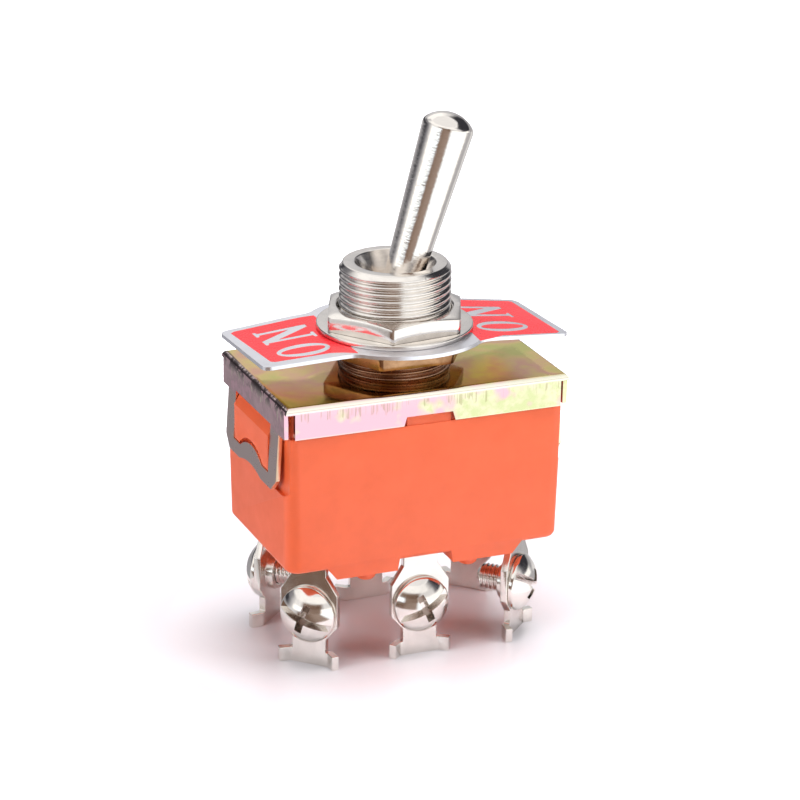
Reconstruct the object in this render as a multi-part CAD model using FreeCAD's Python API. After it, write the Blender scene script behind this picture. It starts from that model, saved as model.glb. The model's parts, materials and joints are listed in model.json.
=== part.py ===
import FreeCAD
import Part
import math
import os

# Panel toggle switch: a metal lever in a threaded bushing, a folded steel cover on a moulded
# housing, and two poles, each with three screw terminals and a rocking contact arm.
# Sizes are in millimetres. Z is up and the feet of the terminals stand on Z = 0. The origin lies
# on the bushing's axis. -Y is the front, and the lever leans towards +X.

# Housing
HOUSING_LENGTH = 31.0
HOUSING_WIDTH = 19.1
HOUSING_HEIGHT = 18.0
HOUSING_WALL = 1.2
HOUSING_DRAFT = 0.3
HOUSING_CORNER = 1.5
HOUSING_EDGE = 0.7
LEDGE_DEPTH = 0.35
LEDGE_GAP = 0.1
BARRIER_INNER_X = 3.2
BARRIER_LENGTH = 6.9
BARRIER_DEPTH = 1.1
BARRIER_SLOPE = 0.9
BARRIER_INSET = 0.05
DIVIDER_THICKNESS = 1.0
DIVIDER_HEIGHT = 3.0
PEG_RADIUS = 1.1
PEG_HEIGHT = 1.4
PEG_ROUND = 0.6
PEG_X = 5.9
PEG_INSET = 2.5
SLOT_CLEARANCE = 0.05

# Cover, folded from sheet
SHEET = 0.5
COVER_GAP = 0.05
SKIRT_DEPTH = 3.5
BEND_RADIUS = 0.7
END_SKIRT_INSET = 0.12
LONG_SKIRT_INSET = 0.5
NOTCH_LENGTH = 5.2
NOTCH_DEPTH = 1.0
NOTCH_FLARE = 0.3
LUG_GAP = 0.12
LUG_PROUD = 0.25

# Latch loop on each end of the cover, and the housing's latch block and pocket for it
LOOP_WIDTH = 15.6
LOOP_DROP = 6.5
LOOP_LEG = 2.4
LOOP_BAR = 1.5
LOOP_CHAMFER = 1.3
LOOP_WINDOW_RISE = 0.35
LOOP_HUMP_WIDTH = 6.6
LOOP_HUMP_HEIGHT = 1.1
LATCH_GAP = 0.15
LATCH_PROUD = 0.25
LATCH_LEAD = 1.2
LATCH_NOTCH_GAP = 0.35
POCKET_DEPTH = 0.5
POCKET_MARGIN = 0.25
POCKET_ROUND = 2.4

# Gasket under the cover
GASKET_THICKNESS = 0.4
GASKET_MARGIN = 0.15

# Bushing
THREAD_RADIUS = 6.0
BUSHING_HEIGHT = 11.3
BUSHING_TOP_CHAMFER = 0.45
FLANGE_RADIUS = 7.6
FLANGE_THICKNESS = 1.2
FUNNEL_RADIUS = 4.33
BALL_SEAT_DEG = 28.0
MOUTH_RADIUS = 4.75
HOLE_GAP = 0.05

# Nuts, washer and label plate on the bushing
NUT_FLATS = 14.0
NUT_THICKNESS = 1.95
NUT_CHAMFER_DEG = 18.0
NUT_FACE_MARGIN = 0.1
UPPER_NUT_ANGLE = 247.0
LOWER_NUT_ANGLE = 238.0
LOWER_NUT_HEIGHT = 1.62
WASHER_RADIUS = 8.4
WASHER_THICKNESS = 0.55
WASHER_CHAMFER = 0.12
PLATE_THICKNESS = 0.5
PLATE_LENGTH = 34.6
PLATE_WIDTH = 14.2
PLATE_DISC_RADIUS = 10.1
PLATE_CORNER = 0.9
PLATE_FLAT_LENGTH = 16.4
PLATE_DROOP_DEG = 4.0
RING_GAP = 0.06

# Lever
LEVER_TILT_DEG = 17.0
PIVOT_HEIGHT = 6.5
LEVER_REACH = 21.4
LEVER_ROOT_RADIUS = 2.05
LEVER_TOP_RADIUS = 2.8
LEVER_CROWN = 1.3
LEVER_TOP_ROUND = 0.5
BALL_RADIUS = 3.4
BALL_GAP = 0.1
TANG_RADIUS = 1.6
TANG_PIN_RADIUS = 1.25
TANG_PIN_LENGTH = 3.6
PIVOT_PIN_RADIUS = 0.8
PIVOT_PIN_OVERHANG = 1.15
PIVOT_PIN_GAP = 0.07
PRESS_GAP = 0.02

# Yoke on the lever's lower end, with its springs and plungers
YOKE_TOP = 9.9
YOKE_BOTTOM = 15.9
HUB_RADIUS = 2.6
HUB_SHORTER = 1.2
TOWER_RADIUS = 2.15
TOWER_SHORTER = 0.4
WEB_SHORTER = 0.8
TOWER_WEB = 2.8
POLE_Y = 4.3
SPRING_BORE_RADIUS = 1.5
SPRING_ROOF = 1.0
SPRING_WIRE_RADIUS = 0.17
SPRING_TURNS = 3.0
SPRING_WIRE_SIDES = 5
PLUNGER_GAP = 0.06
PLUNGER_NOSE_REACH = 17.5
PLUNGER_BARREL = 1.96
PLUNGER_STEM_RADIUS = 0.6
PLUNGER_STEM_LENGTH = 1.7

# Rocking contact arms
ARM_RATIO = 0.5
ARM_WIDTH = 3.2
ARM_THICKNESS = 0.6
ARM_WING = 5.5
ARM_PAD = 4.9
ARM_NOSE_GAP = 0.06
CONTACT_X = 9.35
CONTACT_HEAD_RADIUS = 1.2
CONTACT_HEAD_HEIGHT = 0.7
CONTACT_SHANK_RADIUS = 0.6
CONTACT_UPSET = 0.3
CONTACT_GAP = 0.05

# Terminals
TERMINAL_THICKNESS = 0.8
FOOT_CLEARANCE = 11.8
FOOT_HEIGHT = 1.6
FOOT_FLAT = 4.4
FOOT_EAR = 1.15
FOOT_EAR_DEG = 40.0
NECK_WIDTH = 3.9
LUG_WIDTH = 6.6
LUG_LOW_Z = 3.1
LUG_LOW_SHOULDER_Z = 4.7
LUG_HIGH_SHOULDER_Z = 8.3
LUG_HIGH_Z = 10.4
SIDE_FACE_Y = 8.2
CORNER_X = 12.2
CORNER_Y = 6.6
CORNER_ANGLE = 45.0
TONGUE_END = 1.6
RIDGE_HEIGHT = 0.4
RIDGE_GAP = 0.06
COLLAR_RADIUS = 2.1
COLLAR_LENGTH = 0.9

# Terminal screws
SCREW_Z = 5.9
SCREW_RADIUS = 1.45
SCREW_LENGTH = 4.4
SCREW_HEAD_RADIUS = 3.15
SCREW_RIM = 0.5
SCREW_DOME = 1.55
SCREW_SLOT_WIDTH = 0.75
SCREW_SLOT_DEPTH = 1.05
SCREW_HOLE_GAP = 0.05
SCREW_TURN_DEG = {"left": 20.0, "centre": -25.0, "right": 35.0}

# Heights that follow from the sizes above
HOUSING_BOTTOM_Z = FOOT_CLEARANCE
HOUSING_TOP_Z = HOUSING_BOTTOM_Z + HOUSING_HEIGHT
SHEET_BOTTOM_Z = HOUSING_TOP_Z + GASKET_THICKNESS
COVER_TOP_Z = SHEET_BOTTOM_Z + SHEET
SKIRT_BOTTOM_Z = COVER_TOP_Z - SKIRT_DEPTH
LEDGE_Z = SKIRT_BOTTOM_Z - LEDGE_GAP
LOOP_LOW_Z = SKIRT_BOTTOM_Z - LOOP_DROP
LOOP_WINDOW_LOW_Z = LOOP_LOW_Z + LOOP_BAR
LOWER_NUT_Z = COVER_TOP_Z + LOWER_NUT_HEIGHT
PLATE_Z = LOWER_NUT_Z + NUT_THICKNESS
WASHER_Z = PLATE_Z + PLATE_THICKNESS
UPPER_NUT_Z = WASHER_Z + WASHER_THICKNESS
PIVOT_Z = COVER_TOP_Z + PIVOT_HEIGHT
BORE_RADIUS = BALL_RADIUS + BALL_GAP

# The plunger's nose is a ball end that follows the trough of its contact arm
NOSE_RADIUS = SPRING_BORE_RADIUS - PLUNGER_GAP
NOSE_CENTRE_REACH = PLUNGER_NOSE_REACH - NOSE_RADIUS
PLUNGER_SHOULDER_REACH = NOSE_CENTRE_REACH - PLUNGER_BARREL
ARM_TILT_DEG = ARM_RATIO * LEVER_TILT_DEG
ARM_PAD_DEG = ARM_TILT_DEG
ARM_TOP_Z = PIVOT_Z - NOSE_CENTRE_REACH - NOSE_RADIUS - ARM_NOSE_GAP
ARM_AXIS_Z = ARM_TOP_Z - ARM_THICKNESS
TONGUE_TOP_Z = ARM_AXIS_Z - RIDGE_GAP - RIDGE_HEIGHT
CAVITY_FLOOR_Z = TONGUE_TOP_Z - TERMINAL_THICKNESS

COVER_LENGTH = HOUSING_LENGTH + 2 * (SHEET + COVER_GAP)
COVER_WIDTH = HOUSING_WIDTH + 2 * (SHEET + COVER_GAP)

UP = FreeCAD.Vector(0, 0, 1)
ALONG_Y = FreeCAD.Vector(0, 1, 0)
ON_AXIS = FreeCAD.Vector(0, 0, 0)


def point(x, y, z):
    return FreeCAD.Vector(x, y, z)


def block(length, width, low, high, x=0.0, y=0.0):
    """A box centred on x and y between two heights."""
    return Part.makeBox(length, width, high - low, point(x - length / 2, y - width / 2, low))


def rod(radius, low, high, x=0.0, y=0.0):
    return Part.makeCylinder(radius, high - low, point(x, y, low))


def rod_along_y(radius, start, length, x, z):
    return Part.makeCylinder(radius, length, point(x, start, z), ALONG_Y)


def turned(profile):
    """Revolve a closed outline of (radius, height) points about Z."""
    corners = [point(r, 0, z) for r, z in profile]
    face = Part.Face(Part.makePolygon(corners + corners[:1]))
    return face.revolve(ON_AXIS, UP, 360)


def outline(start, steps):
    """A closed wire from points in space: each step is an end, or a middle and an end of an arc."""
    edges = []
    last = start
    for step in steps + [(start,)]:
        end = step[-1]
        if (end - last).Length < 1e-6:
            continue
        if len(step) == 2:
            edges.append(Part.Arc(last, step[0], end).toShape())
        else:
            edges.append(Part.LineSegment(last, end).toShape())
        last = end
    return Part.Wire(edges)


def crown_middle(radius, height, low):
    """The middle of the arc from a crown's rim to its top, so that the crown is part of a ball."""
    ball = (radius ** 2 + height ** 2) / (2 * height)
    half_angle = math.asin(radius / ball) / 2
    return point(ball * math.sin(half_angle), 0, low + height - ball * (1 - math.cos(half_angle)))


def rounded_rectangle(length, width, radius, z):
    """A flat wire with four round corners at one height."""
    x = length / 2
    y = width / 2
    inset = radius * (1 - math.sqrt(0.5))
    steps = []
    for sx, sy in ((1, -1), (1, 1), (-1, 1), (-1, -1)):
        before = point(sx * x, sy * (y - radius), z)
        after = point(sx * (x - radius), sy * y, z)
        middle = point(sx * (x - inset), sy * (y - inset), z)
        first, second = (after, before) if sx * sy < 0 else (before, after)
        steps.append((first,))
        steps.append((middle, second))
    return outline(steps[0][0], steps[1:])


def edges_at(shape, test):
    return [edge for edge in shape.Edges if test(edge)]


def is_level(edge, z):
    return abs(edge.BoundBox.ZMin - z) < 1e-4 and abs(edge.BoundBox.ZMax - z) < 1e-4


def both_ends(shape):
    """The shape and its mirror image across the YZ plane."""
    return [shape, shape.mirror(ON_AXIS, point(1, 0, 0))]


def both_sides(shape):
    """The shape and its mirror image across the XZ plane."""
    return [shape, shape.mirror(ON_AXIS, ALONG_Y)]


def four_ways(shape):
    return [copy for half in both_ends(shape) for copy in both_sides(half)]


def leaned(shape):
    """Turn what the lever carries from upright to its resting lean."""
    shape.rotate(point(0, 0, PIVOT_Z), ALONG_Y, LEVER_TILT_DEG)
    return shape


def rocked(shape):
    """Turn what a contact arm carries from level to its closed side."""
    shape.rotate(point(0, 0, ARM_AXIS_Z), ALONG_Y, -ARM_TILT_DEG)
    return shape


def below_pivot(reach):
    return PIVOT_Z - reach


# Housing

def housing_shell():
    """The drafted outside up to the ledge under the skirts, and the plain top inside them."""
    length = HOUSING_LENGTH + 2 * LEDGE_DEPTH
    width = HOUSING_WIDTH + 2 * LEDGE_DEPTH
    ledge = rounded_rectangle(length, width, HOUSING_CORNER, LEDGE_Z)
    foot_length = length - 2 * HOUSING_DRAFT
    foot_width = width - 2 * HOUSING_DRAFT
    foot = rounded_rectangle(foot_length, foot_width, HOUSING_CORNER, HOUSING_BOTTOM_Z)
    shell = Part.makeLoft([foot, ledge], True, True)
    foot_edges = edges_at(shell, lambda edge: is_level(edge, HOUSING_BOTTOM_Z))
    shell = shell.makeFillet(HOUSING_EDGE, foot_edges)
    inside = Part.Face(rounded_rectangle(HOUSING_LENGTH, HOUSING_WIDTH, HOUSING_CORNER, LEDGE_Z))
    return shell.fuse(inside.extrude(point(0, 0, HOUSING_TOP_Z - LEDGE_Z)))


def loop_pocket():
    """The shallow pocket across an end wall that a latch loop hangs in, with round lower corners."""
    low = LOOP_LOW_Z - POCKET_MARGIN
    width = HOUSING_WIDTH + 2 * LEDGE_DEPTH + 2 * POCKET_MARGIN
    pocket = block(2 * POCKET_DEPTH, width, low, SKIRT_BOTTOM_Z, HOUSING_LENGTH / 2 + LEDGE_DEPTH)
    sides = edges_at(pocket, lambda edge: is_level(edge, low) and edge.BoundBox.YLength < 1e-4)
    return pocket.makeFillet(POCKET_ROUND, sides)


def barrier():
    """The step under the floor that parts a corner terminal from the middle one."""
    low = HOUSING_BOTTOM_Z - BARRIER_DEPTH
    high = HOUSING_BOTTOM_Z + HOUSING_EDGE
    outer_x = BARRIER_INNER_X + BARRIER_LENGTH
    slope = BARRIER_SLOPE * (high - low) / BARRIER_DEPTH
    half = HOUSING_WIDTH / 2 + LEDGE_DEPTH - HOUSING_DRAFT - BARRIER_INSET
    face = Part.Face(outline(point(BARRIER_INNER_X, -half, low), [
        (point(outer_x, -half, low),),
        (point(outer_x + slope, -half, high),),
        (point(BARRIER_INNER_X - HOUSING_DRAFT, -half, high),),
    ]))
    return face.extrude(point(0, 2 * half, 0))


def peg():
    """A round-ended moulding stud under a barrier, near the front edge."""
    y = -(HOUSING_WIDTH / 2 - PEG_INSET)
    low = HOUSING_BOTTOM_Z - BARRIER_DEPTH - PEG_HEIGHT
    stud = rod(PEG_RADIUS, low, HOUSING_BOTTOM_Z, PEG_X, y)
    return stud.makeFillet(PEG_ROUND, edges_at(stud, lambda edge: is_level(edge, low)))


def cavity():
    length = HOUSING_LENGTH - 2 * HOUSING_WALL
    width = HOUSING_WIDTH - 2 * HOUSING_WALL
    space = block(length, width, CAVITY_FLOOR_Z, HOUSING_TOP_Z + 1)
    divider = block(length, DIVIDER_THICKNESS, CAVITY_FLOOR_Z, CAVITY_FLOOR_Z + DIVIDER_HEIGHT)
    return space.cut(divider)


def latch_block():
    """The wedge on an end wall that the cover's loop snaps over."""
    wall_x = HOUSING_LENGTH / 2
    face_x = COVER_LENGTH / 2 + LATCH_PROUD
    top = SKIRT_BOTTOM_Z + LOOP_WINDOW_RISE - LATCH_GAP
    bottom = LOOP_WINDOW_LOW_Z + LATCH_GAP
    half = LOOP_WIDTH / 2 - LOOP_LEG - LATCH_GAP
    face = Part.Face(outline(point(wall_x - HOUSING_WALL / 2, -half, top), [
        (point(wall_x + COVER_GAP, -half, top),),
        (point(face_x, -half, top - LATCH_LEAD),),
        (point(face_x, -half, bottom),),
        (point(wall_x - HOUSING_WALL / 2, -half, bottom),),
    ]))
    wedge = face.extrude(point(0, 2 * half, 0))
    notch_half = LOOP_HUMP_WIDTH / 2 + LATCH_NOTCH_GAP
    notch_top = bottom + LOOP_HUMP_HEIGHT + LATCH_NOTCH_GAP
    below = bottom - 1
    notch = Part.Face(outline(point(wall_x, -notch_half, below), [
        (point(wall_x, -notch_half, bottom),),
        (point(wall_x, 0, notch_top), point(wall_x, notch_half, bottom)),
        (point(wall_x, notch_half, below),),
    ])).extrude(point(face_x - wall_x + 1, 0, 0))
    return wedge.cut(notch)


def cover_lug():
    """The locating lug in the front notch of the cover."""
    length = NOTCH_LENGTH - 2 * LUG_GAP
    high = SKIRT_BOTTOM_Z + NOTCH_DEPTH - LUG_GAP
    depth = HOUSING_WALL / 2 + LUG_PROUD
    y = -(HOUSING_WIDTH / 2 + LUG_PROUD - depth / 2)
    return block(length, depth, LEDGE_Z, high, 0, y)


def terminal_slot(name):
    """The slot in the floor that holds a terminal's neck."""
    width = NECK_WIDTH + 2 * SLOT_CLEARANCE
    slot = block(width, TERMINAL_THICKNESS + 2 * SLOT_CLEARANCE, 0, HOUSING_TOP_Z - HOUSING_WALL)
    slot.translate(point(0, TERMINAL_THICKNESS / 2, 0))
    return placed_terminal(slot, name)


def make_housing():
    body = housing_shell()
    body = body.fuse(both_ends(barrier()))
    body = body.fuse(four_ways(peg()))
    body = body.cut(both_ends(loop_pocket()) + [cavity()])
    body = body.fuse(both_ends(latch_block()) + both_sides(cover_lug()))
    for name in TERMINAL_PLACES:
        body = body.cut(terminal_slot(name))
    return body.removeSplitter()


# Cover

def folded_tray():
    """A tray with its mouth down and its four upper edges bent round."""
    outer = block(COVER_LENGTH, COVER_WIDTH, SKIRT_BOTTOM_Z, COVER_TOP_Z)
    outer = outer.makeFillet(BEND_RADIUS, edges_at(outer, lambda edge: is_level(edge, COVER_TOP_Z)))
    inner_length = COVER_LENGTH - 2 * SHEET
    inner_width = COVER_WIDTH - 2 * SHEET
    inner = block(inner_length, inner_width, SKIRT_BOTTOM_Z - 1, SHEET_BOTTOM_Z)
    inner_bend = BEND_RADIUS - SHEET
    if inner_bend > 0:
        inner = inner.makeFillet(inner_bend, edges_at(inner, lambda edge: is_level(edge, SHEET_BOTTOM_Z)))
    return outer.cut(inner)


def corner_relief():
    """The cut in the sheet at a corner, so that the skirts end before they would meet."""
    length = SHEET + LONG_SKIRT_INSET
    width = SHEET + END_SKIRT_INSET
    x = (COVER_LENGTH - length) / 2
    y = (COVER_WIDTH - width) / 2
    return block(length, width, SKIRT_BOTTOM_Z, COVER_TOP_Z - BEND_RADIUS, x, y)


def skirt_notch():
    """The notch in a skirt over the housing's lug, wider at its mouth."""
    y = -COVER_WIDTH / 2 - SHEET
    half = NOTCH_LENGTH / 2
    mouth = half + NOTCH_FLARE
    top = SKIRT_BOTTOM_Z + NOTCH_DEPTH
    face = Part.Face(outline(point(-mouth, y, SKIRT_BOTTOM_Z), [
        (point(-half, y, top),), (point(half, y, top),), (point(mouth, y, SKIRT_BOTTOM_Z),),
    ]))
    return face.extrude(point(0, 3 * SHEET, 0))


def latch_loop():
    """The loop that hangs from an end skirt, with a crimped cross bar."""
    x = COVER_LENGTH / 2 - SHEET
    half = LOOP_WIDTH / 2
    rise = LOOP_HUMP_HEIGHT / 2
    hump = LOOP_HUMP_WIDTH / 2
    plate = Part.Face(outline(point(x, -half, SKIRT_BOTTOM_Z + SHEET), [
        (point(x, -half, LOOP_LOW_Z + LOOP_CHAMFER),),
        (point(x, -half + LOOP_CHAMFER, LOOP_LOW_Z),),
        (point(x, -hump, LOOP_LOW_Z),),
        (point(x, 0, LOOP_LOW_Z + rise), point(x, hump, LOOP_LOW_Z)),
        (point(x, half - LOOP_CHAMFER, LOOP_LOW_Z),),
        (point(x, half, LOOP_LOW_Z + LOOP_CHAMFER),),
        (point(x, half, SKIRT_BOTTOM_Z + SHEET),),
    ]))
    return plate.extrude(point(SHEET, 0, 0))


def loop_window():
    x = COVER_LENGTH / 2 - 2 * SHEET
    half = LOOP_WIDTH / 2 - LOOP_LEG
    hump = LOOP_HUMP_WIDTH / 2
    low = LOOP_WINDOW_LOW_Z
    top = SKIRT_BOTTOM_Z + LOOP_WINDOW_RISE
    hole = Part.Face(outline(point(x, -half, top), [
        (point(x, -half, low),),
        (point(x, -hump, low),),
        (point(x, 0, low + LOOP_HUMP_HEIGHT), point(x, hump, low)),
        (point(x, half, low),),
        (point(x, half, top),),
    ]))
    return hole.extrude(point(3 * SHEET, 0, 0))


def make_cover():
    cover = folded_tray()
    cover = cover.cut(rod(THREAD_RADIUS + HOLE_GAP, SKIRT_BOTTOM_Z, COVER_TOP_Z + 1))
    cover = cover.cut(four_ways(corner_relief()) + both_sides(skirt_notch()))
    cover = cover.fuse(both_ends(latch_loop()))
    cover = cover.cut(both_ends(loop_window()))
    return cover.removeSplitter()


def make_gasket():
    length = HOUSING_LENGTH - 2 * GASKET_MARGIN
    width = HOUSING_WIDTH - 2 * GASKET_MARGIN
    sheet = Part.Face(rounded_rectangle(length, width, HOUSING_CORNER, HOUSING_TOP_Z))
    sheet = sheet.extrude(point(0, 0, GASKET_THICKNESS))
    return sheet.cut(rod(FLANGE_RADIUS + HOLE_GAP, HOUSING_TOP_Z - 1, SHEET_BOTTOM_Z + 1))


# Bushing, nuts, washer and label plate

def make_bushing():
    """A threaded sleeve with a flange under the cover, a ball seat and a funnel mouth."""
    top = COVER_TOP_Z + BUSHING_HEIGHT
    flange_low = SHEET_BOTTOM_Z - FLANGE_THICKNESS
    body = turned([
        (0, flange_low), (FLANGE_RADIUS, flange_low), (FLANGE_RADIUS, SHEET_BOTTOM_Z),
        (THREAD_RADIUS, SHEET_BOTTOM_Z), (THREAD_RADIUS, top - BUSHING_TOP_CHAMFER),
        (THREAD_RADIUS - BUSHING_TOP_CHAMFER, top), (0, top),
    ])
    neck_rise = BORE_RADIUS * math.sin(math.radians(BALL_SEAT_DEG))
    neck_radius = BORE_RADIUS * math.cos(math.radians(BALL_SEAT_DEG))
    bore_low = PIVOT_Z - BALL_RADIUS
    passage = turned([
        (0, flange_low - 1), (MOUTH_RADIUS, flange_low - 1), (MOUTH_RADIUS, flange_low),
        (BORE_RADIUS, bore_low), (BORE_RADIUS, PIVOT_Z), (0, PIVOT_Z),
    ])
    seat = Part.makeSphere(BORE_RADIUS, point(0, 0, PIVOT_Z))
    funnel = turned([
        (0, PIVOT_Z + neck_rise), (neck_radius, PIVOT_Z + neck_rise),
        (FUNNEL_RADIUS, top), (FUNNEL_RADIUS, top + 1), (0, top + 1),
    ])
    body = body.cut(passage.fuse([seat, funnel]))
    return body.cut(pin_grooves(flange_low))


def pin_grooves(low):
    """The two grooves that the pivot pin's ends ride in, open at the bottom."""
    reach = BALL_RADIUS + PIVOT_PIN_OVERHANG + PIVOT_PIN_GAP
    radius = PIVOT_PIN_RADIUS + PIVOT_PIN_GAP
    groove = block(2 * radius, 2 * reach, low - 1, PIVOT_Z)
    return groove.fuse(rod_along_y(radius, -reach, 2 * reach, 0, PIVOT_Z))


def hex_nut(low, angle):
    """A thin hexagon nut with its upper corners chamfered."""
    high = low + NUT_THICKNESS
    corner = NUT_FLATS / math.sqrt(3)
    turns = [math.radians(angle + 60 * k) for k in range(6)]
    corners = [point(corner * math.cos(t), corner * math.sin(t), low) for t in turns]
    prism = Part.Face(Part.makePolygon(corners + corners[:1])).extrude(point(0, 0, NUT_THICKNESS))
    face_radius = NUT_FLATS / 2 - NUT_FACE_MARGIN
    chamfer = (corner - face_radius) * math.tan(math.radians(NUT_CHAMFER_DEG))
    rounding = turned([(0, low), (corner, low), (corner, high - chamfer), (face_radius, high), (0, high)])
    bore = rod(THREAD_RADIUS + RING_GAP, low - 1, high + 1)
    return prism.common(rounding).cut(bore)


def make_washer():
    """A flat ring with both outer edges broken."""
    hole = THREAD_RADIUS + RING_GAP
    top = WASHER_Z + WASHER_THICKNESS
    return turned([
        (hole, WASHER_Z), (WASHER_RADIUS - WASHER_CHAMFER, WASHER_Z),
        (WASHER_RADIUS, WASHER_Z + WASHER_CHAMFER), (WASHER_RADIUS, top - WASHER_CHAMFER),
        (WASHER_RADIUS - WASHER_CHAMFER, top), (hole, top),
    ])


def make_label_plate():
    """A round plate with two square wings that droop a little."""
    end = PLATE_LENGTH / 2 + 1
    flat = PLATE_FLAT_LENGTH / 2
    drop = (end - flat) * math.tan(math.radians(PLATE_DROOP_DEG))
    y = -PLATE_DISC_RADIUS - 1
    bowed = Part.Face(outline(point(-end, y, PLATE_Z - drop), [
        (point(-flat, y, PLATE_Z),), (point(flat, y, PLATE_Z),), (point(end, y, PLATE_Z - drop),),
        (point(end, y, WASHER_Z - drop),), (point(flat, y, WASHER_Z),), (point(-flat, y, WASHER_Z),),
        (point(-end, y, WASHER_Z - drop),),
    ])).extrude(point(0, -2 * y, 0))
    low = PLATE_Z - drop - 1
    high = WASHER_Z + 1
    wings = Part.Face(rounded_rectangle(PLATE_LENGTH, PLATE_WIDTH, PLATE_CORNER, low))
    blank = wings.extrude(point(0, 0, high - low)).fuse(rod(PLATE_DISC_RADIUS, low, high))
    hole = rod(THREAD_RADIUS + RING_GAP, low - 1, high + 1)
    return bowed.common(blank.removeSplitter()).cut(hole)


# Lever and what it carries, drawn upright and then leaned

def lever_outline():
    """Half the lever's section: tang, ball, tapered handle and crowned top."""
    top = PIVOT_Z + LEVER_REACH
    shoulder = top - LEVER_CROWN
    tang_low = below_pivot(YOKE_TOP)
    pin_low = below_pivot(YOKE_TOP + TANG_PIN_LENGTH)
    ball_low = PIVOT_Z - math.sqrt(BALL_RADIUS ** 2 - TANG_RADIUS ** 2)
    ball_high = PIVOT_Z + math.sqrt(BALL_RADIUS ** 2 - LEVER_ROOT_RADIUS ** 2)
    round_inset = LEVER_TOP_ROUND * (1 - math.sqrt(0.5))
    return outline(point(0, 0, pin_low), [
        (point(TANG_PIN_RADIUS, 0, pin_low),),
        (point(TANG_PIN_RADIUS, 0, tang_low),),
        (point(TANG_RADIUS, 0, tang_low),),
        (point(TANG_RADIUS, 0, ball_low),),
        (point(BALL_RADIUS, 0, PIVOT_Z), point(LEVER_ROOT_RADIUS, 0, ball_high)),
        (point(LEVER_TOP_RADIUS, 0, shoulder - LEVER_TOP_ROUND),),
        (point(LEVER_TOP_RADIUS - round_inset, 0, shoulder - round_inset),
         point(LEVER_TOP_RADIUS - LEVER_TOP_ROUND, 0, shoulder)),
        (crown_middle(LEVER_TOP_RADIUS - LEVER_TOP_ROUND, LEVER_CROWN, shoulder), point(0, 0, top)),
    ])


def make_lever():
    lever = Part.Face(lever_outline()).revolve(point(0, 0, PIVOT_Z), UP, 360)
    hole_radius = PIVOT_PIN_RADIUS + PRESS_GAP
    return leaned(lever.cut(rod_along_y(hole_radius, -BALL_RADIUS, 2 * BALL_RADIUS, 0, PIVOT_Z)))


def make_pivot_pin():
    length = 2 * (BALL_RADIUS + PIVOT_PIN_OVERHANG)
    return leaned(rod_along_y(PIVOT_PIN_RADIUS, -length / 2, length, 0, PIVOT_Z))


def make_yoke():
    """A moulded hub on the lever's tang with a spring tower for each pole."""
    top = below_pivot(YOKE_TOP)
    bottom = below_pivot(YOKE_BOTTOM)
    hub = rod(HUB_RADIUS, bottom + HUB_SHORTER, top)
    web = block(TOWER_WEB, 2 * POLE_Y, bottom + HUB_SHORTER, top - WEB_SHORTER)
    towers = [rod(TOWER_RADIUS, bottom, top - TOWER_SHORTER, 0, side * POLE_Y) for side in (-1, 1)]
    yoke = hub.fuse([web] + towers)
    tang_hole = rod(TANG_PIN_RADIUS + PRESS_GAP, below_pivot(YOKE_TOP + TANG_PIN_LENGTH) - 0.1, top + 1)
    bores = [rod(SPRING_BORE_RADIUS, bottom - 1, top - SPRING_ROOF, 0, side * POLE_Y) for side in (-1, 1)]
    return leaned(yoke.cut([tang_hole] + bores))


def make_spring(side):
    """A coil between the roof of its bore and the plunger's shoulder.

    The fine wire has flat sides, so that the coil stays light.
    """
    high = below_pivot(YOKE_TOP + SPRING_ROOF) - SPRING_WIRE_RADIUS
    low = below_pivot(PLUNGER_SHOULDER_REACH) + SPRING_WIRE_RADIUS
    coil_radius = (SPRING_BORE_RADIUS + PLUNGER_STEM_RADIUS) / 2
    helix = Part.makeHelix((high - low) / SPRING_TURNS, high - low, coil_radius)
    corners = []
    for side_number in range(SPRING_WIRE_SIDES + 1):
        turn = 2 * math.pi * side_number / SPRING_WIRE_SIDES
        across = SPRING_WIRE_RADIUS * math.cos(turn)
        corners.append(point(coil_radius + across, 0, SPRING_WIRE_RADIUS * math.sin(turn)))
    section = Part.makePolygon(corners)
    coil = Part.Wire(helix.Edges).makePipeShell([section], True, True)
    coil.translate(point(0, side * POLE_Y, low))
    return leaned(coil)


def make_plunger(side):
    """A ball-nosed plunger with a stem that the spring slides over."""
    shoulder = below_pivot(PLUNGER_SHOULDER_REACH)
    nose = below_pivot(NOSE_CENTRE_REACH)
    body = turned([
        (0, nose), (NOSE_RADIUS, nose), (NOSE_RADIUS, shoulder), (PLUNGER_STEM_RADIUS, shoulder),
        (PLUNGER_STEM_RADIUS, shoulder + PLUNGER_STEM_LENGTH), (0, shoulder + PLUNGER_STEM_LENGTH),
    ])
    plunger = body.fuse(Part.makeSphere(NOSE_RADIUS, point(0, 0, nose))).removeSplitter()
    plunger.translate(point(0, side * POLE_Y, 0))
    return leaned(plunger)


# Contact arms, drawn level and then rocked

def trough_radius():
    """The bend that keeps a nose as far from its arm at the ends of the throw as in the middle."""
    lean = math.radians(LEVER_TILT_DEG)
    rock = math.radians(ARM_TILT_DEG)
    reach = NOSE_RADIUS + ARM_NOSE_GAP
    across = NOSE_CENTRE_REACH * math.sin(lean)
    above = NOSE_CENTRE_REACH * (1 - math.cos(lean)) + reach + ARM_THICKNESS
    x = across * math.cos(rock) - above * math.sin(rock)
    z = across * math.sin(rock) + above * math.cos(rock) - ARM_THICKNESS
    return (x ** 2 + z ** 2 - reach ** 2) / (2 * (z - reach))


def trough_rise(x, radius):
    """How far the trough has risen at a distance from its middle."""
    return radius - math.sqrt(radius ** 2 - x ** 2)


def pad_rise():
    """Height of a pad's inner end above the arm's axis, with the arm level."""
    return ARM_THICKNESS + trough_rise(ARM_WING, trough_radius())


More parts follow.
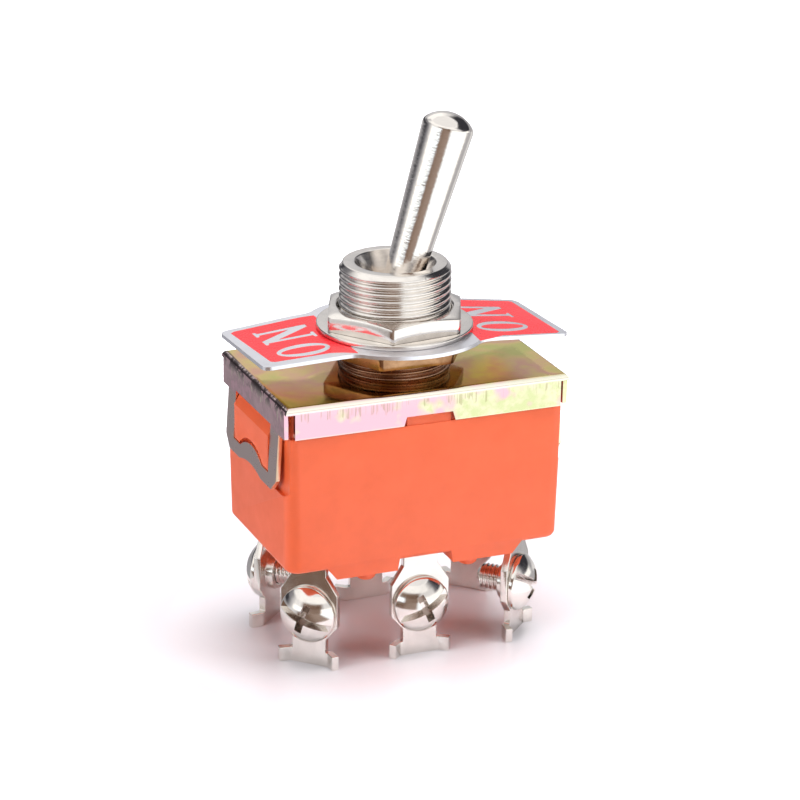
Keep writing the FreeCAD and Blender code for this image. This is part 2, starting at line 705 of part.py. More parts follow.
def pad_point(along, above, end):
    """A point on an arm's end pad, measured along it and above its upper face."""
    angle = math.radians(ARM_PAD_DEG)
    x = ARM_WING + along * math.cos(angle) - above * math.sin(angle)
    z = ARM_AXIS_Z + pad_rise() + along * math.sin(angle) + above * math.cos(angle)
    return point(end * x, 0, z)


def contact_along():
    """How far along its pad a contact sits so that it closes at CONTACT_X."""
    tilt = math.radians(ARM_TILT_DEG)
    return CONTACT_X - (ARM_WING * math.cos(tilt) + pad_rise() * math.sin(tilt))


def make_arm(side):
    """A strip bent to a round trough, with a flat pad for a contact at each end."""
    pad = [pad_point(ARM_PAD, 0, 1), pad_point(ARM_PAD, -ARM_THICKNESS, 1), pad_point(0, -ARM_THICKNESS, 1)]
    corners = [pad_point(0, 0, -1), pad_point(0, 0, 1)] + pad
    corners += [point(-corner.x, 0, corner.z) for corner in reversed(pad)]
    steps = [(corner,) for corner in corners[1:]]
    steps[0] = (point(0, 0, ARM_TOP_Z), corners[1])
    steps[4] = (point(0, 0, ARM_AXIS_Z), corners[5])
    strip = Part.Face(outline(corners[0], steps))
    strip = strip.extrude(point(0, ARM_WIDTH, 0))
    strip.translate(point(0, side * POLE_Y - ARM_WIDTH / 2, 0))
    for end in (-1, 1):
        strip = strip.cut(contact_rivet(end, side, CONTACT_SHANK_RADIUS + PRESS_GAP, 0, 0))
    return rocked(strip)


def contact_rivet(end, side, shank_radius, head_radius, upset_radius):
    """A rivet through an arm's pad: shank, head below and upset end above."""
    base = pad_point(contact_along(), -ARM_THICKNESS, end)
    tip = pad_point(contact_along(), 0, end)
    base.y = tip.y = side * POLE_Y
    outward = tip - base
    outward.normalize()
    rivet = Part.makeCylinder(shank_radius, (tip - base).Length, base, outward)
    if head_radius:
        rivet = rivet.fuse([
            Part.makeCylinder(head_radius, CONTACT_HEAD_HEIGHT, base, outward * -1),
            Part.makeCylinder(upset_radius, CONTACT_UPSET, tip, outward),
        ])
    return rivet


def make_moving_contact(end, side):
    upset_radius = (CONTACT_SHANK_RADIUS + CONTACT_HEAD_RADIUS) / 2
    return rocked(contact_rivet(end, side, CONTACT_SHANK_RADIUS, CONTACT_HEAD_RADIUS, upset_radius))


# Terminals, drawn facing the front and then turned to their places

TERMINAL_PLACES = {
    "front_left": (-1, -1),
    "front_centre": (0, -1),
    "front_right": (1, -1),
    "rear_left": (-1, 1),
    "rear_centre": (0, 1),
    "rear_right": (1, 1),
}


def placed_terminal(shape, name):
    """Turn a piece that faces the front and move it to its terminal's place."""
    end, side = TERMINAL_PLACES[name]
    if end == 0:
        turn = 0 if side < 0 else 180
        place = point(0, side * SIDE_FACE_Y, 0)
    else:
        turn = end * CORNER_ANGLE if side < 0 else 180 - end * CORNER_ANGLE
        place = point(end * CORNER_X, side * CORNER_Y, 0)
    shape.rotate(ON_AXIS, UP, turn)
    shape.translate(place)
    return shape


def lug_outline():
    """The flat part of a terminal: neck, eight-sided lug and lower neck."""
    neck = NECK_WIDTH / 2
    wide = LUG_WIDTH / 2
    right = [(neck, FOOT_HEIGHT / 2), (neck, LUG_LOW_Z), (wide, LUG_LOW_SHOULDER_Z),
             (wide, LUG_HIGH_SHOULDER_Z), (neck, LUG_HIGH_Z), (neck, TONGUE_TOP_Z - TERMINAL_THICKNESS)]
    left = [(-x, z) for x, z in reversed(right)]
    corners = [point(x, 0, z) for x, z in right + left]
    return Part.Face(Part.makePolygon(corners + corners[:1])).extrude(point(0, TERMINAL_THICKNESS, 0))


def foot_strip():
    """The foot, with an ear at each end bent out towards the screw's head."""
    angle = math.radians(FOOT_EAR_DEG)
    flat = FOOT_FLAT / 2
    ear_x = flat + FOOT_EAR * math.cos(angle)
    ear_y = -FOOT_EAR * math.sin(angle)
    shift = TERMINAL_THICKNESS * math.tan(angle / 2)
    back_x = ear_x + TERMINAL_THICKNESS * math.sin(angle)
    back_y = ear_y + TERMINAL_THICKNESS * math.cos(angle)
    right = [(flat, 0), (ear_x, ear_y), (back_x, back_y), (flat + shift, TERMINAL_THICKNESS)]
    left = [(-x, y) for x, y in reversed(right)]
    corners = [point(x, y, 0) for x, y in right + left]
    return Part.Face(Part.makePolygon(corners + corners[:1])).extrude(point(0, 0, FOOT_HEIGHT))


def inner_tongue(length):
    """The bend over the housing's floor and the tongue that lies on it."""
    low = TONGUE_TOP_Z - TERMINAL_THICKNESS
    bend = TERMINAL_THICKNESS
    inset = bend * (1 - math.sqrt(0.5))
    x = -NECK_WIDTH / 2
    side = Part.Face(outline(point(x, 0, low), [
        (point(x, inset, TONGUE_TOP_Z - inset), point(x, bend, TONGUE_TOP_Z)),
        (point(x, length, TONGUE_TOP_Z),),
        (point(x, length, low),),
    ]))
    return side.extrude(point(NECK_WIDTH, 0, 0))


def contact_seat_distance():
    """From a corner terminal's outer face, along its tongue, to the fixed contact."""
    return (CORNER_X - CONTACT_X) / math.sin(math.radians(CORNER_ANGLE))


def make_terminal(name):
    end = TERMINAL_PLACES[name][0]
    seat = contact_seat_distance() if end else SIDE_FACE_Y - POLE_Y
    terminal = lug_outline().fuse([foot_strip(), inner_tongue(seat + TONGUE_END)])
    middle = TERMINAL_THICKNESS / 2
    collar_end = TERMINAL_THICKNESS + COLLAR_LENGTH
    terminal = terminal.fuse(rod_along_y(COLLAR_RADIUS, middle, collar_end - middle, 0, SCREW_Z))
    hole = rod_along_y(SCREW_RADIUS + SCREW_HOLE_GAP, -1, collar_end + 2, 0, SCREW_Z)
    terminal = terminal.cut(hole)
    if end:
        rivet_hole = rod(CONTACT_SHANK_RADIUS + PRESS_GAP, CAVITY_FLOOR_Z - 1, TONGUE_TOP_Z + 1, 0, seat)
        terminal = terminal.cut(rivet_hole)
    else:
        terminal = terminal.fuse(pivot_ridge(seat))
    return placed_terminal(terminal.removeSplitter(), name)


def pivot_ridge(seat):
    """The ridge on a middle terminal's tongue that its contact arm rocks on."""
    ridge = rod_along_y(RIDGE_HEIGHT, seat - ARM_WIDTH / 2, ARM_WIDTH, 0, TONGUE_TOP_Z)
    above = block(ARM_WIDTH, 4 * ARM_WIDTH, TONGUE_TOP_Z - RIDGE_HEIGHT / 2, ARM_AXIS_Z, 0, seat)
    return ridge.common(above)


def make_fixed_contact(name):
    """The rivet in a corner terminal's tongue that the moving contact closes on."""
    along = ARM_AXIS_Z + closed_pad_height() - ARM_THICKNESS - CONTACT_HEAD_HEIGHT - CONTACT_GAP
    seat = contact_seat_distance()
    shank = rod(CONTACT_SHANK_RADIUS, CAVITY_FLOOR_Z, TONGUE_TOP_Z, 0, seat)
    head = rod(CONTACT_HEAD_RADIUS, TONGUE_TOP_Z, along, 0, seat)
    return placed_terminal(shank.fuse(head), name)


def closed_pad_height():
    """Height of a closed pad's upper face above the arm's axis."""
    tilt = math.radians(ARM_TILT_DEG)
    return pad_rise() * math.cos(tilt) - ARM_WING * math.sin(tilt)


def make_terminal_screw(name):
    """A screw with a slotted, domed head, its tip through the collar."""
    rim = SCREW_RIM
    top = SCREW_RIM + SCREW_DOME
    face = Part.Face(outline(point(0, 0, -SCREW_LENGTH), [
        (point(SCREW_RADIUS, 0, -SCREW_LENGTH),), (point(SCREW_RADIUS, 0, 0),),
        (point(SCREW_HEAD_RADIUS, 0, 0),), (point(SCREW_HEAD_RADIUS, 0, rim),),
        (crown_middle(SCREW_HEAD_RADIUS, SCREW_DOME, rim), point(0, 0, top)),
    ]))
    screw = face.revolve(ON_AXIS, UP, 360)
    slot = block(2 * SCREW_HEAD_RADIUS + 1, SCREW_SLOT_WIDTH, top - SCREW_SLOT_DEPTH, top + 1)
    screw = screw.cut(slot)
    screw.rotate(ON_AXIS, UP, SCREW_TURN_DEG[name.split("_")[1]])
    screw.rotate(ON_AXIS, point(1, 0, 0), 90)
    screw.translate(point(0, 0, SCREW_Z))
    return placed_terminal(screw, name)


def all_parts():
    """Every piece by the name of its file."""
    parts = {
        "housing": make_housing(),
        "cover_frame": make_cover(),
        "insulating_gasket": make_gasket(),
        "bushing": make_bushing(),
        "lower_nut": hex_nut(LOWER_NUT_Z, LOWER_NUT_ANGLE),
        "label_plate": make_label_plate(),
        "flat_washer": make_washer(),
        "upper_nut": hex_nut(UPPER_NUT_Z, UPPER_NUT_ANGLE),
        "toggle_lever": make_lever(),
        "pivot_pin": make_pivot_pin(),
        "lever_yoke": make_yoke(),
    }
    for pole, side in (("front", -1), ("rear", 1)):
        parts["plunger_spring_" + pole] = make_spring(side)
        parts["plunger_" + pole] = make_plunger(side)
        parts["contact_arm_" + pole] = make_arm(side)
        for hand, end in (("left", -1), ("right", 1)):
            parts["moving_contact_" + pole + "_" + hand] = make_moving_contact(end, side)
    for name, (end, side) in TERMINAL_PLACES.items():
        parts["terminal_" + name] = make_terminal(name)
        parts["terminal_screw_" + name] = make_terminal_screw(name)
        if end:
            parts["fixed_contact_" + name] = make_fixed_contact(name)
    return parts


def main():
    os.makedirs("parts", exist_ok=True)
    for name, shape in all_parts().items():
        shape.exportStep(os.path.join("parts", name + ".step"))


main()
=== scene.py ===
"""Looks of a panel toggle switch: a leaning metal lever in a threaded bushing, a printed label
plate between the nuts, a passivated cover over an orange moulding, and six screw terminals."""

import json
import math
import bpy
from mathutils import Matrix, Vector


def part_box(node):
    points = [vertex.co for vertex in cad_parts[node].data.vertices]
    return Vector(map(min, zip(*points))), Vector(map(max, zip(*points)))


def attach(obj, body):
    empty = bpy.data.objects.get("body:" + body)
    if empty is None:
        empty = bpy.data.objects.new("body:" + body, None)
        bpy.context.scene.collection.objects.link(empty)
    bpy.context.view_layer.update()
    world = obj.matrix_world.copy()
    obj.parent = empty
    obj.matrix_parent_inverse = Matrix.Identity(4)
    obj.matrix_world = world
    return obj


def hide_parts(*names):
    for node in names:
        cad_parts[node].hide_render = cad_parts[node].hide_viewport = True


bl_info = {
    "name": "Panel toggle switch",
    "version": (1, 0, 0),
    "blender": (4, 5, 0),
    "location": "3D View > Sidebar > Toggle switch",
    "description": "Builds the pieces and finishes of a panel toggle switch",
    "category": "Add Mesh",
}

import bmesh
import bpy
from bpy.props import FloatProperty, FloatVectorProperty, IntProperty, PointerProperty
from mathutils import Matrix, Vector

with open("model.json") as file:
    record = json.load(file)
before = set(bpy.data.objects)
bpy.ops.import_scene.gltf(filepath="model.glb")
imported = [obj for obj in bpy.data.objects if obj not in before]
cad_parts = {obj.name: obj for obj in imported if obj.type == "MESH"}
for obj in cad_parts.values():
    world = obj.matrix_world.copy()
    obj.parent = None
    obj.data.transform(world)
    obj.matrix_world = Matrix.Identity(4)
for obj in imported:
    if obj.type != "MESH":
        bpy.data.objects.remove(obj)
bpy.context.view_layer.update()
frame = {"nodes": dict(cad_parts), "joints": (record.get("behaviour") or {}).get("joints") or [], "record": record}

MM = 0.001
POLES = ("front", "rear")
TERMINALS = ("front_left", "front_centre", "front_right", "rear_left", "rear_centre", "rear_right")

BUSHING_LOW, BUSHING_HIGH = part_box("bushing")
COVER_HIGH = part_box("cover_frame")[1]
PLATE_LOW, PLATE_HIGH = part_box("label_plate")
LEVER_JOINT = next(joint for joint in frame["joints"] if joint["name"] == "lever_toggle")
LEVER_PIVOT = Vector(LEVER_JOINT["pos_m"])


def mm(value):
    return value * MM


def paint(red, green, blue):
    """A linear colour from the 0 to 255 values that it has on a screen."""
    shares = (red / 255, green / 255, blue / 255)
    return tuple(s / 12.92 if s <= 0.04045 else ((s + 0.055) / 1.055) ** 2.4 for s in shares)


def length_setting(description, value, low=0.0):
    """A length given in millimetres."""
    return FloatProperty(
        description=description, default=mm(value), min=mm(low), unit="LENGTH", precision=5)


def angle_setting(description, degrees):
    return FloatProperty(description=description, default=math.radians(degrees), subtype="ANGLE")


def colour_setting(description, value):
    return FloatVectorProperty(
        description=description, default=value, size=3, min=0.0, max=1.0, subtype="COLOR")


def named_settings(group):
    """Label each setting of a group with its own word."""
    for word, setting in group.__annotations__.items():
        label = word.replace("_", " ").capitalize()
        group.__annotations__[word] = setting.function(name=label, **setting.keywords)
    return group


# Settings that a user would change

@named_settings
class HousingSettings(bpy.types.PropertyGroup):
    edge: length_setting("Rounding of the moulding's edges", 0.14)
    colour: colour_setting("Colour of the orange moulding", paint(247, 106, 60))
    dark: colour_setting("Colour of the yoke and the plungers", paint(34, 33, 35))


@named_settings
class CoverSettings(bpy.types.PropertyGroup):
    edge: length_setting("Rounding of the sheared edges", 0.06)
    skirt: length_setting("Depth of the skirt, below which the loops start", 3.5)
    splay: angle_setting("How far the latch loops spring outwards", 3.5)
    gold: colour_setting("Passivation on the top", paint(236, 206, 128))
    olive: colour_setting("Greener clouds on the top", paint(212, 208, 112))
    rose: colour_setting("Redder clouds on the top", paint(234, 178, 146))
    # A painted reflection of the plate and nuts in the cover top
    bronze: colour_setting("Painted brown reflection round the bushing", paint(150, 96, 56))
    pale: colour_setting("Passivation on the front and back", paint(228, 220, 186))
    green: colour_setting("Greener clouds on the front and back", paint(208, 212, 160))
    pink: colour_setting("Redder clouds on the front and back", paint(234, 184, 196))
    mauve: colour_setting("Passivation on the two ends", paint(232, 192, 196))
    burnt: colour_setting("Dark mottling on the end bends", paint(64, 56, 54))
    loop: colour_setting("Passivation on the latch loops", paint(206, 186, 180))
    shorn: colour_setting("Bare edges of the sheet", paint(246, 236, 206))
    gasket: colour_setting("Colour of the fibre sheet", paint(120, 86, 62))


@named_settings
class BushingSettings(bpy.types.PropertyGroup):
    thread_radius: length_setting("Outer radius of the thread", 6.0)
    thread_depth: length_setting("Depth of a groove", 0.34)
    pitch: length_setting("Distance between two grooves", 0.78, 0.1)
    funnel_radius: length_setting("Radius of the mouth", 4.33)
    neck_radius: length_setting("Radius over the ball", 3.09)
    flange_radius: length_setting("Radius of the flange under the cover", 7.6)
    flange_thickness: length_setting("Thickness of the flange", 1.2)
    chamfer: length_setting("Chamfer at the thread's start", 0.45)


@named_settings
class NutSettings(bpy.types.PropertyGroup):
    across_flats: length_setting("Size of both nuts", 14.0)
    bore_radius: length_setting("Radius of the holes of nuts and washer", 6.06)
    face_radius: length_setting("Where the chamfer of a nut starts", 6.9)
    chamfer: angle_setting("Slope of a nut's chamfer", 18)
    edge: length_setting("Rounding of the edges", 0.07)
    upper_angle: angle_setting("Turn of the upper nut", 247)
    lower_angle: angle_setting("Turn of the lower nut", 238)


@named_settings
class PlateSettings(bpy.types.PropertyGroup):
    disc_radius: length_setting("Radius of the round middle", 10.1)
    width: length_setting("Width of the wings", 14.2)
    corner: length_setting("Rounding of the wings' corners", 0.9)
    neck_round: length_setting("Hollow between the disc and a wing", 1.6)
    thickness: length_setting("Thickness of the sheet", 0.42)
    flat_length: length_setting("Length of the flat middle", 16.4)
    left_droop: angle_setting("Slope of the left wing", 4)
    right_droop: angle_setting("Slope of the right wing", 6)
    twist: angle_setting("How far a wing's end is turned about its length", 2.6)
    film: length_setting("Thickness of the printed paint", 0.012)
    letter_height: length_setting("Height of the words", 5.8)
    red: colour_setting("Colour of the printed paint", paint(220, 30, 40))
    metal: colour_setting("Colour of the bare plate", paint(242, 242, 248))


@named_settings
class LeverSettings(bpy.types.PropertyGroup):
    lean: angle_setting("Lean of the lever at rest", 17)
    reach: length_setting("From the pivot to the tip", 21.355)
    root_radius: length_setting("Radius over the ball", 2.05)
    top_radius: length_setting("Radius under the crown", 2.8)
    crown: length_setting("Height of the crown", 1.3)
    top_round: length_setting("Rounding under the crown", 0.5)
    ball_radius: length_setting("Radius of the pivot's ball", 3.4)


@named_settings
class TerminalSettings(bpy.types.PropertyGroup):
    edge: length_setting("Rounding of the blanked edges", 0.09)
    head_radius: length_setting("Radius of a screw's head", 3.15)
    rim: length_setting("Straight height of a screw's head", 0.5)
    dome: length_setting("Height of a screw's dome", 1.55)
    slot_width: length_setting("Width of the slot", 0.8)
    slot_depth: length_setting("Depth of the slot", 1.36)
    cross_length: length_setting("Length of the cross recess", 3.6)
    cross_width: length_setting("Width of an arm of the cross recess", 0.95)
    cross_depth: length_setting("Depth of the cross recess", 1.25)
    thread_radius: length_setting("Outer radius of the screws", 1.45)
    thread_depth: length_setting("Depth of the screws' thread", 0.2)
    pitch: length_setting("Pitch of the screws' thread", 0.5, 0.1)
    length: length_setting("Length of a screw under its head", 4.4)
    nickel: colour_setting("Colour of the nickel plate", paint(236, 230, 224))


@named_settings
class StageSettings(bpy.types.PropertyGroup):
    camera: FloatVectorProperty(
        description="Where the camera stands", size=3, subtype="TRANSLATION",
        default=(mm(-117.18), mm(-284.85), mm(139.71)))
    aim: FloatVectorProperty(
        description="The point in the middle of the picture", size=3,
        subtype="TRANSLATION", default=(mm(0.74), 0.0, mm(26.206)))
    roll: angle_setting("Roll of the camera", 0.747)
    lens: FloatProperty(description="Focal length in millimetres", default=137.32, min=1.0)
    floor: colour_setting("Colour of the floor", (0.82, 0.79, 0.83))


class SwitchSettings(bpy.types.PropertyGroup):
    housing: PointerProperty(type=HousingSettings)
    cover: PointerProperty(type=CoverSettings)
    bushing: PointerProperty(type=BushingSettings)
    nuts: PointerProperty(type=NutSettings)
    plate: PointerProperty(type=PlateSettings)
    lever: PointerProperty(type=LeverSettings)
    terminals: PointerProperty(type=TerminalSettings)
    stage: PointerProperty(type=StageSettings)
    segments: IntProperty(
        name="Segments", description="Facets around a turned piece", default=128, min=24)


# Node helpers, for shader and geometry trees alike

def add(tree, kind, inputs=None, **settings):
    """A new node, with its settings and with each input given a value or joined to a socket."""
    node = tree.nodes.new(kind)
    for key, value in settings.items():
        setattr(node, key, value)
    for key, value in (inputs or {}).items():
        if isinstance(value, bpy.types.NodeSocket):
            tree.links.new(value, node.inputs[key])
        else:
            node.inputs[key].default_value = value
    return node


def tree_of(*values):
    """The tree of the first socket among some values."""
    return next(value.id_data for value in values if isinstance(value, bpy.types.NodeSocket))


def maths(operation, *values, clamp=False):
    node = add(tree_of(*values), "ShaderNodeMath", dict(enumerate(values)), operation=operation,
               use_clamp=clamp)
    return node.outputs[0]


def product(first, *others):
    for other in others:
        first = maths("MULTIPLY", first, other)
    return first


def object_place(tree):
    return add(tree, "ShaderNodeTexCoord").outputs["Object"]


def split(vector):
    return add(vector.id_data, "ShaderNodeSeparateXYZ", {0: vector}).outputs


def length_of(vector):
    return add(vector.id_data, "ShaderNodeVectorMath", {0: vector}, operation="LENGTH").outputs["Value"]


def turn_share(parts):
    """The angle about Z as a share of a turn, from minus a half to a half."""
    return maths("DIVIDE", maths("ARCTAN2", parts["Y"], parts["X"]), 2 * math.pi)


def vector_maths(operation, first, second):
    tree = tree_of(first, second)
    return add(tree, "ShaderNodeVectorMath", {0: first, 1: second}, operation=operation).outputs[0]


def spread(value, low, high, new_low=0.0, new_high=1.0, smooth=False):
    """Map a value from one range to another, held at both ends."""
    kind = "SMOOTHSTEP" if smooth else "LINEAR"
    ends = {"Value": value, "From Min": low, "From Max": high, "To Min": new_low, "To Max": new_high}
    return add(value.id_data, "ShaderNodeMapRange", ends, interpolation_type=kind).outputs["Result"]


def noise(vector, scale, detail=2.0, rough=0.5, warp=0.0):
    inputs = {"Vector": vector, "Scale": scale, "Detail": detail, "Roughness": rough, "Distortion": warp}
    return add(vector.id_data, "ShaderNodeTexNoise", inputs).outputs["Fac"]


def ramp(factor, stops):
    node = add(factor.id_data, "ShaderNodeValToRGB", {"Fac": factor})
    elements = node.color_ramp.elements
    while len(elements) < len(stops):
        elements.new(0.5)
    for element, (position, colour) in zip(elements, stops):
        element.position = position
        element.color = (*colour, 1.0)
    return node.outputs["Color"]


def mix_colour(factor, first, second):
    tree = tree_of(factor, first, second)
    node = add(tree, "ShaderNodeMix", {0: factor}, data_type="RGBA")
    for index, value in ((6, first), (7, second)):
        if isinstance(value, bpy.types.NodeSocket):
            tree.links.new(value, node.inputs[index])
        else:
            node.inputs[index].default_value = (*value, 1.0)
    return node.outputs[2]


def new_group(name, kind, inputs, outputs):
    """A node group with named sockets, and its input and output nodes."""
    tree = bpy.data.node_groups.new(name, kind)
    for label, socket, value in inputs:
        made = tree.interface.new_socket(label, in_out="INPUT", socket_type=socket)
        if value is not None:
            made.default_value = value
    for label, socket in outputs:
        tree.interface.new_socket(label, in_out="OUTPUT", socket_type=socket)
    return tree, tree.nodes.new("NodeGroupInput").outputs, tree.nodes.new("NodeGroupOutput").inputs


def group_named(name):
    """Wire a node group the first time that it is asked for."""
    def wrap(build):
        return lambda: bpy.data.node_groups.get(name) or build(name)
    return wrap


# Effects that several finishes share

@group_named("Fine scratches")
def scratch_group(name):
    """Fine lines, long across one direction and close along the other."""
    tree, given, result = new_group(name, "ShaderNodeTree", [
        ("Vector", "NodeSocketVector", None), ("Stretch", "NodeSocketVector", (1.0, 1.0, 1.0)),
        ("Scale", "NodeSocketFloat", 4.0)], [("Lines", "NodeSocketFloat")])
    drawn = vector_maths("MULTIPLY", given["Vector"], given["Stretch"])
    fine = noise(drawn, given["Scale"], 3.0, 0.65)
    coarse = noise(drawn, maths("MULTIPLY", given["Scale"], 0.27), 2.0, 0.5)
    both = maths("MULTIPLY_ADD", coarse, 0.5, maths("MULTIPLY", fine, 0.5))
    tree.links.new(both, result["Lines"])
    return tree


@group_named("Handling marks")
def handling_group(name):
    """Uneven gloss from handling and plating."""
    tree, given, result = new_group(name, "ShaderNodeTree", [
        ("Vector", "NodeSocketVector", None), ("Scale", "NodeSocketFloat", 0.4),
        ("Clean", "NodeSocketFloat", 0.1), ("Dull", "NodeSocketFloat", 0.3)],
        [("Roughness", "NodeSocketFloat")])
    cloud = noise(given["Vector"], given["Scale"], 4.0, 0.6, 0.4)
    specks = noise(given["Vector"], maths("MULTIPLY", given["Scale"], 9.0), 2.0, 0.6)
    both = maths("MULTIPLY_ADD", specks, 0.3, maths("MULTIPLY", cloud, 0.7))
    tree.links.new(spread(both, 0.36, 0.64, given["Clean"], given["Dull"]), result["Roughness"])
    return tree


@group_named("Tarnish")
def tarnish_group(name):
    """A metal's colour with faint warm and dull clouds."""
    tree, given, result = new_group(name, "ShaderNodeTree", [
        ("Vector", "NodeSocketVector", None), ("Scale", "NodeSocketFloat", 0.5),
        ("Bright", "NodeSocketColor", (0.8, 0.8, 0.8, 1.0)),
        ("Stained", "NodeSocketColor", (0.6, 0.5, 0.4, 1.0)),
        ("Amount", "NodeSocketFloat", 0.3)], [("Color", "NodeSocketColor")])
    cloud = noise(given["Vector"], given["Scale"], 5.0, 0.62, 0.6)
    share = maths("MULTIPLY", spread(cloud, 0.42, 0.72), given["Amount"])
    tree.links.new(mix_colour(share, given["Bright"], given["Stained"]), result["Color"])
    return tree


@group_named("Moulded skin")
def moulded_group(name):
    """The skin of a moulding: slow waves with a trace of grain, and a mask for its mottling."""
    tree, given, result = new_group(name, "ShaderNodeTree", [
        ("Vector", "NodeSocketVector", None), ("Grain", "NodeSocketFloat", 9.0),
        ("Waves", "NodeSocketFloat", 0.25)],
        [("Height", "NodeSocketFloat"), ("Mottling", "NodeSocketFloat")])
    grain = noise(given["Vector"], given["Grain"], 2.0, 0.5)
    waves = noise(given["Vector"], given["Waves"], 0.0, 0.4)
    height = maths("MULTIPLY_ADD", waves, 3.0, maths("MULTIPLY", grain, 0.004))
    tree.links.new(height, result["Height"])
    tree.links.new(noise(given["Vector"], maths("MULTIPLY", given["Waves"], 2.2), 3.0, 0.55),
                   result["Mottling"])
    return tree


def new_material(name):
    material = bpy.data.materials.new(name)
    material.use_nodes = True
    return material, material.node_tree


def new_surface(name, turn=(0.0, 0.0, 0.0), centre=(0.0, 0.0, 0.0)):
    """A material with its shader and a pattern vector in millimetres."""
    material, tree = new_material(name)
    shader = tree.nodes["Principled BSDF"]
    sizes = {"Vector": object_place(tree), "Location": centre, "Rotation": turn, "Scale": (MM, MM, MM)}
    vector = add(tree, "ShaderNodeMapping", sizes, vector_type="TEXTURE").outputs["Vector"]
    return material, shader, vector


def use_group(group, **inputs):
    """A group in the tree of its inputs' sockets."""
    tree = tree_of(*inputs.values())
    node = tree.nodes.new("ShaderNodeGroup")
    node.node_tree = group
    for key, value in inputs.items():
        socket = node.inputs[key]
        if isinstance(value, bpy.types.NodeSocket):
            tree.links.new(value, socket)
        elif socket.type == "RGBA":
            socket.default_value = (*value, 1.0)
        else:
            socket.default_value = value
    return node.outputs


def feed(shader, **sockets):
    """Join outputs to the shader's Base_Color, Roughness or Normal."""
    for name, output in sockets.items():
        shader.id_data.links.new(output, shader.inputs[name.replace("_", " ")])


def raise_surface(shader, height, strength, distance):
    inputs = {"Height": height, "Strength": strength, "Distance": distance}
    feed(shader, Normal=add(shader.id_data, "ShaderNodeBump", inputs).outputs["Normal"])


def shaded(colour, share):
    return tuple(part * share for part in colour)


# Finishes

def moulding_finish(name, colour, rough, grain_height):
    """Moulded plastic with slow waves, a trace of grain and faint mottling."""
    material, shader, vector = new_surface(name)
    skin = use_group(moulded_group(), Vector=vector, Grain=9.0, Waves=0.16)
    mottle = spread(skin["Mottling"], 0.35, 0.7)
    base = mix_colour(mottle, colour, shaded(colour, 0.93))
    gloss = spread(skin["Mottling"], 0.35, 0.65, rough, rough + 0.06)
    feed(shader, Base_Color=base, Roughness=gloss)
    raise_surface(shader, skin["Height"], 0.5, grain_height)
    shader.inputs["IOR"].default_value = 1.5
    return material


def metal_finish(name, colour, stained, clean, dull, scratches=0.35, stretch=(0.15, 1.0, 1.0),
                 stain_amount=0.35, turn=(0.0, 0.0, 0.0), centre=(0.0, 0.0, 0.0), scale=6.0,
                 depth=mm(0.02)):
    """Plated or bare metal with clouds, fine lines and uneven gloss."""
    material, shader, vector = new_surface(name, turn, centre)
    tone = use_group(tarnish_group(), Vector=vector, Scale=0.35, Bright=colour, Stained=stained,
                     Amount=stain_amount)
    gloss = use_group(handling_group(), Vector=vector, Scale=0.5, Clean=clean, Dull=dull)
    feed(shader, Base_Color=tone["Color"], Roughness=gloss["Roughness"])
    lines = use_group(scratch_group(), Vector=vector, Stretch=stretch, Scale=scale)
    raise_surface(shader, lines["Lines"], scratches, depth)
    shader.inputs["Metallic"].default_value = 1.0
    return material


def bend_marks(vector, spot, height):
    """Short upright marks that the bending tool left under a bend at the given height."""
    lines = noise(vector_maths("MULTIPLY", vector, (4.2, 4.2, 0.12)), 1.0, 1.0, 0.5)
    lengths = noise(vector_maths("MULTIPLY", vector, (2.3, 2.3, 0.1)), 1.0, 1.0, 0.5)
    foot = maths("MULTIPLY_ADD", lengths, -2.6, height - 0.3)
    below = spread(maths("SUBTRACT", spot["Z"], foot), 0.0, 0.2)
    upper = spread(spot["Z"], height - 0.55, height - 0.8)
    return product(spread(lines, 0.53, 0.62), below, upper)


